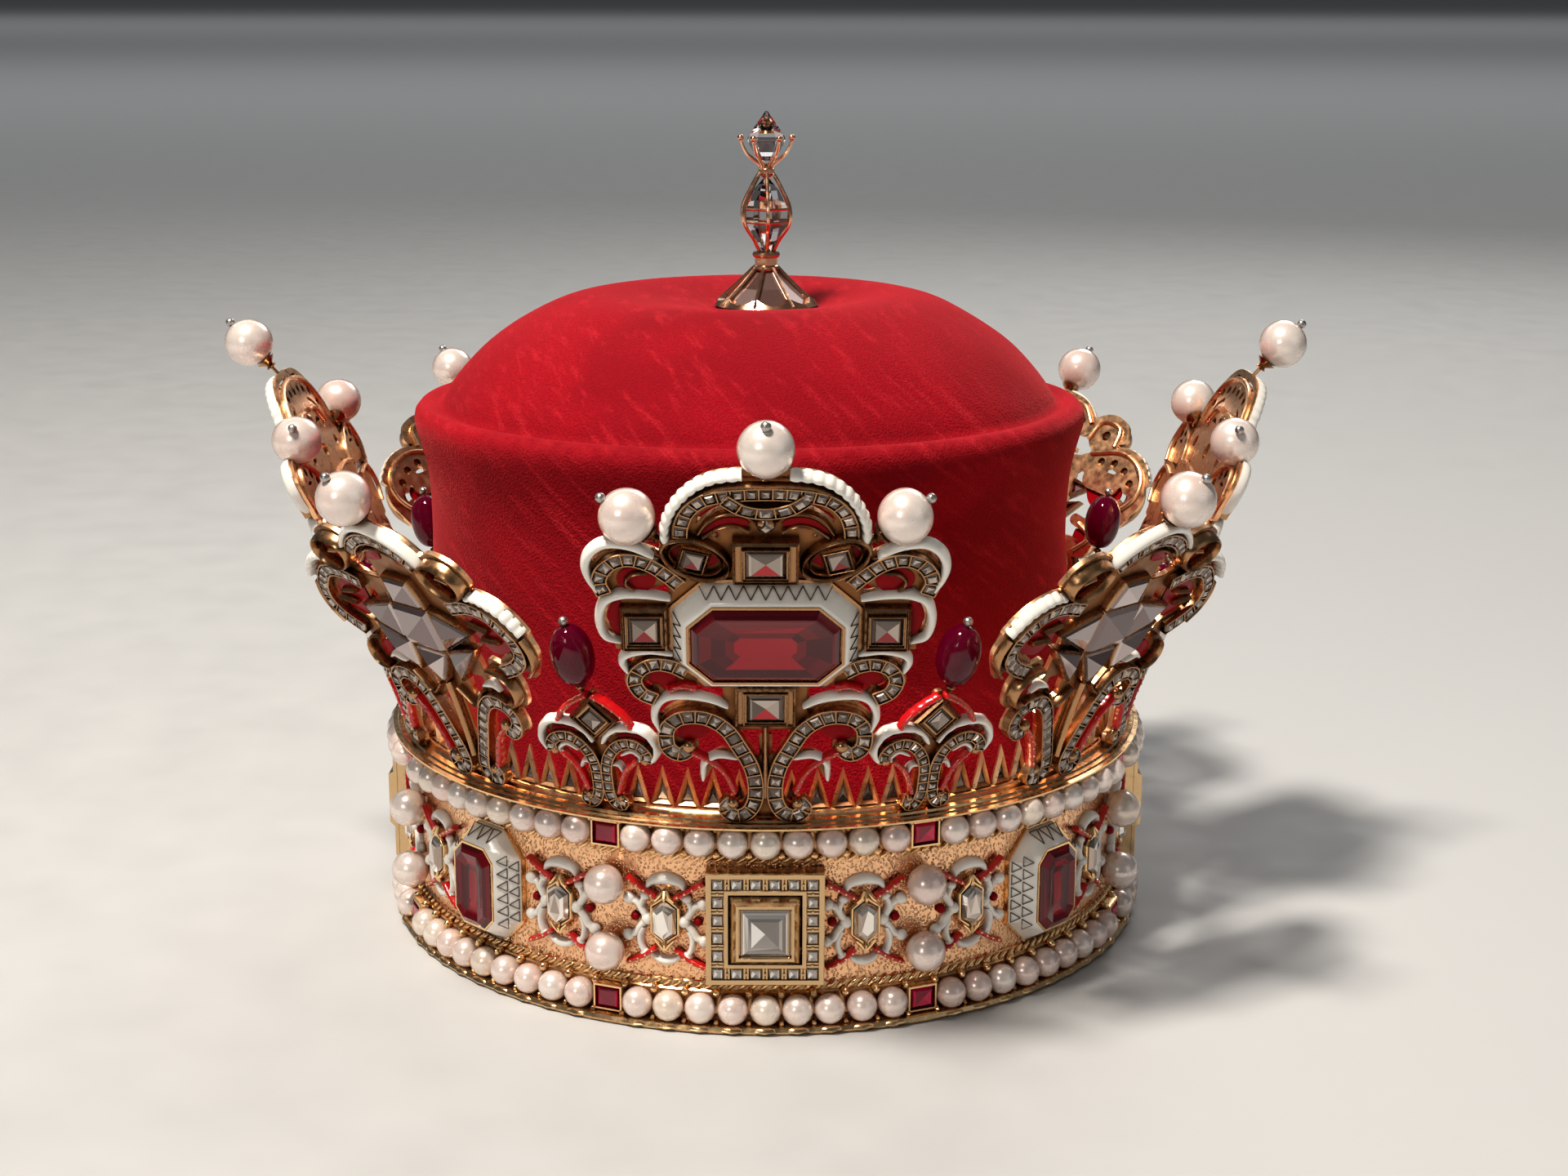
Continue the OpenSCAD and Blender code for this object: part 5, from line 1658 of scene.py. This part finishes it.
# %% Ruby settings
def ruby_box():
    k = kit()
    base = (22.2, 28.4, 6.4)
    top = (15.2, 21.6, 3.5)

    def outline(w, h, c):
        ring = oblong(w, h, c)
        return [tuple(p) for p in ring]

    k["white"].add(*loft([(outline(*base), -1), (outline(*base), 0.5), (outline(*top), 5.7),
                          (outline(top[0] - 0.5, top[1] - 0.5, 3.3), 5.95),
                          (outline(13.9, 20.3, 2.9), 5.95), (outline(13.7, 20.1, 2.9), 1.2)]),
                   0, False)
    k["gold"].add(*loft([(outline(14.6, 21, 3.2), 5.9), (outline(14.6, 21, 3.2), 6.3),
                         (outline(13.6, 20, 2.9), 6.3), (outline(13.5, 19.9, 2.8), 4.0)]), 0, False)
    k["gold"].add(*loft([(outline(23, 29.2, 6.6), -1), (outline(23, 29.2, 6.6), 0.45)]), 0, False)
    # Two rows of triangles, outlined in dark lines of painted groove shade, on each long side; one row above
    # and below
    for side in (1, -1):
        for low, high, shift in ((0.9, 2.9, 0), (3.2, 5.3, 1.6)):
            for j in range(-3, 4):
                s = j * 3.2 + shift * side
                if abs(s) > 9.5:
                    continue
                tri = [(s - 1.3, low), (s + 1.3, low), (s, high)]
                for (a, m), (b, n) in zip(tri, tri[1:] + tri[:1]):
                    ends = [((11.1 - (h - 0.5) * 0.673) * side, q, h) for q, h in ((a, m), (b, n))]
                    pts = np.linspace(ends[0], ends[1], 3) + [0.09 * side, 0, 0.06]
                    k["dark"].add(*tube(pts, 0.14, 4))
        for j in range(-1, 2):
            u = j * 3.6
            tri = [(u - 1.5, 1.2), (u + 1.5, 1.2), (u, 4.8)]
            for (a, m), (b, n) in zip(tri, tri[1:] + tri[:1]):
                ends = [(q, (14.2 - (h - 0.5) * 0.654) * side, h) for q, h in ((a, m), (b, n))]
                pts = np.linspace(ends[0], ends[1], 3) + [0, 0.09 * side, 0.06]
                k["dark"].add(*tube(pts, 0.14, 4))
    w, h, c = 13.4, 19.8, 2.8
    outer = [(oblong(w - 5, h - 5, 1), 3.2), (oblong(w - 1.2, h - 1.2, c), 5.6), (oblong(w, h, c), 6.2),
             (oblong(w, h, c), 6.5), (oblong(w - 1.6, h - 1.6, c - 0.2), 7.1),
             (oblong(w - 3.2, h - 3.2, c - 0.6), 7.6)]
    inner = [(oblong(w - 6, h - 6, c - 1.2), 7.0), (oblong(w - 8.6, h - 9, c - 1.8), 6.6),
             (oblong(w - 10.4, h - 12, 0.5), 6.4)]
    cut = ruby_stone(outer, inner)
    return k, cut


box_kit, band_cut = ruby_box()
for number in range(1, 5):
    where = on_side(45 + 90 * (number - 1))
    work = Soup()
    work.join(box_kit["white"], where)
    rims = Soup()
    rims.join(box_kit["gold"], where)
    rims.kinds = [1] * len(rims.kinds)
    work.join(rims)
    lines = Soup()
    lines.join(box_kit["dark"], where)
    lines.kinds = [2] * len(lines.kinds)
    work.join(lines)
    work.build(f"enamelled_setting_{number}", [WHITE, POLISHED, GROOVE_SHADE], "white_enamel",
               [f"ruby_setting_{number}"])
    stone = Soup()
    stone.join(band_cut, where)
    stone.build(f"octagonal_ruby_{number}", [RUBY, RUBY_GLOW], "ruby", [f"band_ruby_{number}"], 10)

# %% Scroll units
def scroll_unit():
    k = kit()
    hexagon = [(-3.6, -3.4), (0, -6.6), (3.6, -3.4), (3.6, 3.4), (0, 6.6), (-3.6, 3.4)]
    small = [(-2.9, -3.1), (0, -5.2), (2.9, -3.1), (2.9, 3.1), (0, 5.2), (-2.9, 3.1)]
    k["gold"].add(*loft([(hexagon, 0.15), (hexagon, 1.7), ([(x * 0.93, y * 0.93) for x, y in hexagon], 2.1),
                         ([(x * 1.04, y * 1.04) for x, y in small], 2.1), (small, 0.7)]), 0, False)
    for way in (1, -1):
        for x in (-1.0, 0, 1.0):
            pts = [(x * 2.2, 4.8 * way, 2.2), (x * 1.2, 5.8 * way, 2.5), (x * 0.3, 7.2 * way, 1.9)]
            k["gold"].add(*tube(np.array(pts), 0.4, 6))
    tall = [(x * 0.97, y * 0.97) for x, y in small]
    table = [(x * 0.46, y * 0.6) for x, y in small]
    k["silver"].add(*loft([(tall, 0.8), (tall, 2.4), ([(x * 0.74, y * 0.82) for x, y in small], 3.4),
                           (table, 3.75)]), 0, False)
    enamel_ridge(k, [(-4.6, 7.3), (-3.4, 9.1), (0, 9.9), (3.4, 9.1), (4.6, 7.3)], 2.9, 2.1, 0.1, ends=0.2)
    enamel_ridge(k, [(-3.3, -8.8), (-2, -10), (0, -10.5), (2, -10), (3.3, -8.8)], 2.2, 1.9, 0.1, ends=0.25)
    for side in (1, -1):
        arms = [[(3.7, -0.2), (4.9, 0.5), (5.9, 2.0), (6.9, 3.5), (8.9, 4.3)],
                [(3.7, -0.6), (5.0, -1.0), (6.3, -2.6), (7.3, -4.2), (9.1, -4.9)],
                [(5.5, 1.5), (6.0, 2.9), (5.6, 4.2), (5.0, 5.4)],
                [(5.4, -2.4), (6.3, -4.6), (6.1, -7.0), (5.0, -9.0)]]
        for arm, width in zip(arms, (2.1, 2.0, 1.6, 1.7)):
            enamel_ridge(k, [(u * side, v) for u, v in arm], width, 1.9, 0.1, ends=0.8)
            end = (arm[-1][0] * side, arm[-1][1], 0.9)
            k["white"].add(*ball(end, width * 0.72, 6, 10, (1.1, 1, 0.9)))
        k["white"].add(*ball((4.4 * side, -0.3, 1.0), 1.5, 6, 10))
        k["red"].add(*ball((7.6 * side, -0.2, 0.5), 1.15, 6, 10))
        strung(k, [(2.2 * side, 5.6), (5.4 * side, 7.5), (9.2 * side, 9.8)], 0.72, 2.2, 2.0)
        strung(k, [(2.2 * side, -7.2), (5.6 * side, -9.6), (9.2 * side, -11.4)], 0.72, 2.2, 1.7)
    return k


unit_kit = scroll_unit()
mounts = Soup()
hexes = Soup()
for k8 in range(8):
    for side in (-1, 1):
        where = chain(on_band, 22.5 + 45 * k8 + side * 8.3)
        mounts.join(unit_kit["gold"], where)
        hexes.join(unit_kit["silver"], where)
        for kind in ("white", "red", "glass"):
            shared[kind].join(unit_kit[kind], where)
mounts.build("crystal_mounts", [POLISHED], "crown_gold", [])
hexes.build("long_crystals", [LONG_CRYSTAL], "rock_crystal", ["band_crystals"], 10)

# %% Shared pieces
shared["white"].build("white_enamel_work", [WHITE], "white_enamel",
                      [f"band_scrolls_{k}" for k in range(1, 9)], 60)
shared["red"].build("red_enamel_fields", [RED_ENAMEL], "red_enamel", [])
shared["glass"].build("strung_red_glass", [STRUNG], "red_glass", [], 80)
shared["stones"].build("small_diamonds", [SHADED_DIAMOND, RED_REFLECTION, DIAMOND], "diamond", [], 5)
shared["crystal"].build("pointed_crystals", [CRYSTAL_SHADE], "rock_crystal",
                        [f"palmette_crystals_{k}" for k in range(1, 5)], 5)
shared["silver"].build("pin_heads", [SILVER], "silver", [], 80)
shared["dark"].build("engraved_lines", [GROOVE_SHADE], "white_enamel", [])
print({name: count for name, count in tally.items() if "palmette" not in name})

# %% [markdown]
# ## Velvet cap
# The cap follows the sections of the CAD part, smoothed between them. The wall is a real
# two millimetre layer that is open below, with the fold around the crown kept crisp and some
# soft unevenness where the cloth is pulled over its padding.

# %% Velvet cap
# Columns: radius, height, share of the shift to the left, share of the tilt
CAP_ROWS = np.array([
    (88.3, 3, 0, 0), (88.3, 24, 0, 0), (88.2, 44, 0, 0), (87.2, 54, 0.15, 0), (85.2, 66, 0.5, 0),
    (83.8, 82, 0.85, 0), (83, 98, 1, 0), (82.9, 110, 1, 0.1), (83.8, 118, 1, 0.4),
    (85.4, 124.5, 1, 0.8), (86.5, 129, 1, 1), (86.2, 132, 1, 1), (84.6, 133.8, 1, 1),
    (82.4, 134, 1, 1), (80.6, 133, 1, 1), (79.4, 133.2, 1, 1), (77.6, 136.6, 1, 0.9),
    (74.4, 141, 1, 0.6), (68, 147.6, 1, 0.4), (60, 153.4, 1, 0.2), (50, 158.6, 0.9, 0),
    (41, 160.8, 0.8, 0), (32, 160.6, 0.6, 0), (24, 159.4, 0.4, 0), (19, 158.4, 0.2, 0),
    (15.4, 157.6, 0, 0), (12.6, 157.2, 0, 0), (6, 157.2, 0, 0), (0.4, 157.2, 0, 0)], float)


def cap_surface(inset, around, step):
    rows = curve(CAP_ROWS, step)
    slope = np.gradient(rows[:, :2], axis=0)
    slope /= np.linalg.norm(slope, axis=1)[:, None]
    t = np.linspace(0, 2 * math.pi, around, endpoint=False)
    level = np.clip(rows[:, 1] / 60, 0, 1)[:, None]
    dent = 0.5 * rows[:, [2]] * (np.sin(3 * t + 0.698) + 0.6 * np.sin(5 * t)) * rows[:, [0]] / 90
    soft = 0.22 * level * np.sin(9 * t + rows[:, [1]] * 0.16) * np.sin(rows[:, [1]] * 0.11 + 4 * t)
    r = rows[:, [0]] - inset * slope[:, [1]] + (dent + soft) * np.clip(rows[:, [0]] / 60, 0, 1)
    z = rows[:, [1]] + inset * slope[:, [0]] - rows[:, [3]] * 1.8 * np.sin(t)
    x = r * np.cos(t) - rows[:, [2]] * 4.6
    y = r * np.sin(t)
    return np.stack([x, y, z], axis=2)


cap = Soup()
outer = cap_surface(0.0, 170, 2.0)
inner = cap_surface(2.0, 170, 3.0)
rings = list(outer) + list(inner[::-1])
cap.add(*skin(np.array(rings), True))
cap.build("brushed_velvet_cap", [VELVET], "red_velvet", ["velvet_cap"], 80)
print("cap", tally["brushed_velvet_cap"])

# %% [markdown]
# ## Finial
# Gold wires hold three crystals one above the other: eight panes around the foot, a knop with
# a belt, and a pointed drop in a cup of six prongs.

# %% Finial
def polygon_ring(r, z, sides_count, phase=0.0):
    return [(r * math.cos(a + phase), r * math.sin(a + phase), z)
            for a in np.linspace(0, 2 * math.pi, sides_count, endpoint=False)]


def cut_stone(levels, sides_count, phase=0.0):
    return skin(np.array([polygon_ring(r, z, sides_count, phase) for r, z in levels]))


gold_wires = Soup()
FOOT_TURN = math.radians(32)
KNOP_TURN = math.radians(34)
foot_path = [(12.9, 158.4), (8.4, 162.4), (5.4, 165.2), (3.2, 167.4)]
knop_path = [(1.9, 171.2), (3.6, 174.4), (6.5, 178.6), (6.6, 182.9), (4.6, 187), (2.4, 190.6), (1.1, 191.8)]
for path, count, phase in ((foot_path, 8, FOOT_TURN), (knop_path, 6, KNOP_TURN)):
    for j in range(count):
        a = phase + j * 2 * math.pi / count
        line = curve(path, 0.8)
        pts = np.column_stack([line[:, 0] * math.cos(a), line[:, 0] * math.sin(a), line[:, 1]])
        gold_wires.add(*tube(pts, 0.5, 8))
for j in range(6):
    a = j * 2 * math.pi / 6
    line = curve([(1.0, 192.6), (2.4, 194), (5, 196.2), (6.4, 199.2), (6.5, 199.9)], 0.6)
    pts = np.column_stack([line[:, 0] * math.cos(a), line[:, 0] * math.sin(a), line[:, 1]])
    gold_wires.add(*tube(pts, np.linspace(0.55, 0.36, len(pts)), 8))
    gold_wires.add(*ball((6.5 * math.cos(a), 6.5 * math.sin(a), 200.1), 0.85, 7, 10))
for z in (179.1, 182.4):
    ring = np.array(polygon_ring(6.55, z, 6, KNOP_TURN))
    loop = []
    for a, b in zip(ring, np.roll(ring, -1, axis=0)):
        loop += [a, a + (b - a) / 3, a + (b - a) * 2 / 3]
    gold_wires.add(*tube(np.array(loop), 0.38, 6, True))
collar = [(0.5, 166.8), (3.3, 166.8), (3.6, 167.3), (3.3, 167.9), (2.9, 168.1), (2.9, 169.9),
          (3.3, 170.1), (3.6, 170.7), (3.3, 171.3), (0.5, 171.5)]
gold_wires.add(*lathe(collar, 32))
gold_wires.add(*lathe([(0.3, 189.9), (1.3, 190.2), (2.1, 191.2), (2.1, 192.3), (1.3, 193.3), (0.3, 193.6)],
                      24))
skirt_low, skirt_high = [], []
for j in range(64):
    a = 2 * math.pi * j / 64
    scoop = abs(math.sin(4 * (a - FOOT_TURN)))
    skirt_low.append((13.3 * math.cos(a), 13.3 * math.sin(a), 158.0))
    skirt_high.append(((12.7 - 1.5 * (1 - scoop)) * math.cos(a), (12.7 - 1.5 * (1 - scoop)) * math.sin(a),
                       158.9 + 1.6 * (1 - scoop)))
under = [(0.9 * x, 0.9 * y, 158.0) for x, y, _ in skirt_low]
within = [(0.86 * x, 0.86 * y, z) for x, y, z in skirt_high]
gold_wires.add(*skin(np.array([under, skirt_low, skirt_high, within]), False, False))
gold_wires.add(*skin(np.array([within, under]), False, False))
gold_wires.build("finial_gold", [ROSE], "crown_gold", ["finial"])
foot = Soup()
foot.add(*cut_stone([(10.8, 158.3), (11.9, 158.6), (7.4, 162.4), (3.0, 166.7)], 8, FOOT_TURN), 0, False)
foot.build("foot_crystal", [FOOT_PANE], "rock_crystal", [], 10)
knop = Soup()
knop.add(*cut_stone([(1.3, 171.6), (3.2, 174.4), (6.0, 178.9), (6.0, 182.7), (3.6, 187), (1.0, 189.8)],
                    6, KNOP_TURN), 0, False)
knop.build("knop_crystal", [CRYSTAL], "rock_crystal", ["finial_knop"], 10)
drop = Soup()
drop.add(*cut_stone([(1.4, 194.4), (3.4, 196.6), (4.9, 199.6), (4.6, 200.4), (2.6, 203.4), (0.25, 206.7)],
                    6), 0, False)
drop.build("drop_crystal", [CRYSTAL], "rock_crystal", ["finial_tip"], 10)
print("total triangles", sum(tally.values()))

# %% [markdown]
# ## Light and camera
# The photograph was taken from slightly above the middle of the cap, close to the crown. A
# small lamp high on the left does most of the work and keeps the highlights on the metal
# crisp. Weaker ones soften the front, the right and the back, and two wide ones far behind
# light the floor up to the horizon.

# %% Stage
def floor_material():
    made, tree, shader = material("pale_floor")
    grain = use(tree, GRAIN, Scale=40, Low=0.55, High=0.75)
    tree.links.new(grain.outputs["Roughness"], shader.inputs["Roughness"])
    base = blend_colours(tree, grain.outputs["Height"], (0.47, 0.47, 0.465), (0.52, 0.52, 0.515))
    tree.links.new(base, shader.inputs["Base Color"])
    bump(tree, shader, grain.outputs["Height"], 0.1, 0.0005)
    return made


bpy.ops.mesh.primitive_plane_add(size=400, location=(0, 0, 0))
floor = bpy.context.object
floor.name = "floor"
floor.data.materials.append(floor_material())


def soft_lamp(name, place_at, aim, size, power, colour):
    lamp = bpy.data.lights.new(name, "AREA")
    lamp.shape = "RECTANGLE"
    lamp.size, lamp.size_y = size
    lamp.energy = power
    lamp.color = colour
    held = bpy.data.objects.new(name, lamp)
    bpy.context.scene.collection.objects.link(held)
    held.location = place_at
    held.rotation_euler = (Vector(aim) - Vector(place_at)).to_track_quat("-Z", "Y").to_euler()
    return held


soft_lamp("key", (-0.42, -0.42, 1.46), (0, 0, 0.08), (0.24, 0.24), 36, (1.0, 0.93, 0.84))
soft_lamp("fill", (1.5, -1.1, 0.7), (0, 0, 0.1), (1.2, 1.2), 1.4, (0.92, 0.96, 1.0))
soft_lamp("front", (-0.8, -1.45, 0.7), (0, 0, 0.1), (0.4, 0.4), 3.2, (1.0, 0.96, 0.91))
soft_lamp("back", (0.5, 1.3, 1.0), (0, 0, 0.12), (0.6, 0.6), 6, (1.0, 0.97, 0.94))
soft_lamp("backdrop", (0, 5, 4), (0, 6, 0), (10, 4), 130, (0.95, 0.98, 1.0))
soft_lamp("far_backdrop", (0, 17, 10), (0, 22, 0), (30, 10), 700, (0.95, 0.98, 1.0))
world = bpy.data.worlds.new("studio")
bpy.context.scene.world = world
world.use_nodes = True
world.node_tree.nodes["Background"].inputs["Color"].default_value = (0.42, 0.44, 0.45, 1)
world.node_tree.nodes["Background"].inputs["Strength"].default_value = 0.16

camera_data = bpy.data.cameras.new("camera")
camera = bpy.data.objects.new("camera", camera_data)
bpy.context.scene.collection.objects.link(camera)
camera.location = (0, -0.6042, 0.2352)
camera.rotation_euler = (math.radians(90 - 14.17), math.radians(-0.09), 0)
camera_data.lens = 53.99
camera_data.sensor_width = 36
camera_data.shift_x = 0.0111
camera_data.clip_start = 0.01
bpy.context.scene.camera = camera
bpy.context.scene.view_settings.view_transform = "Standard"
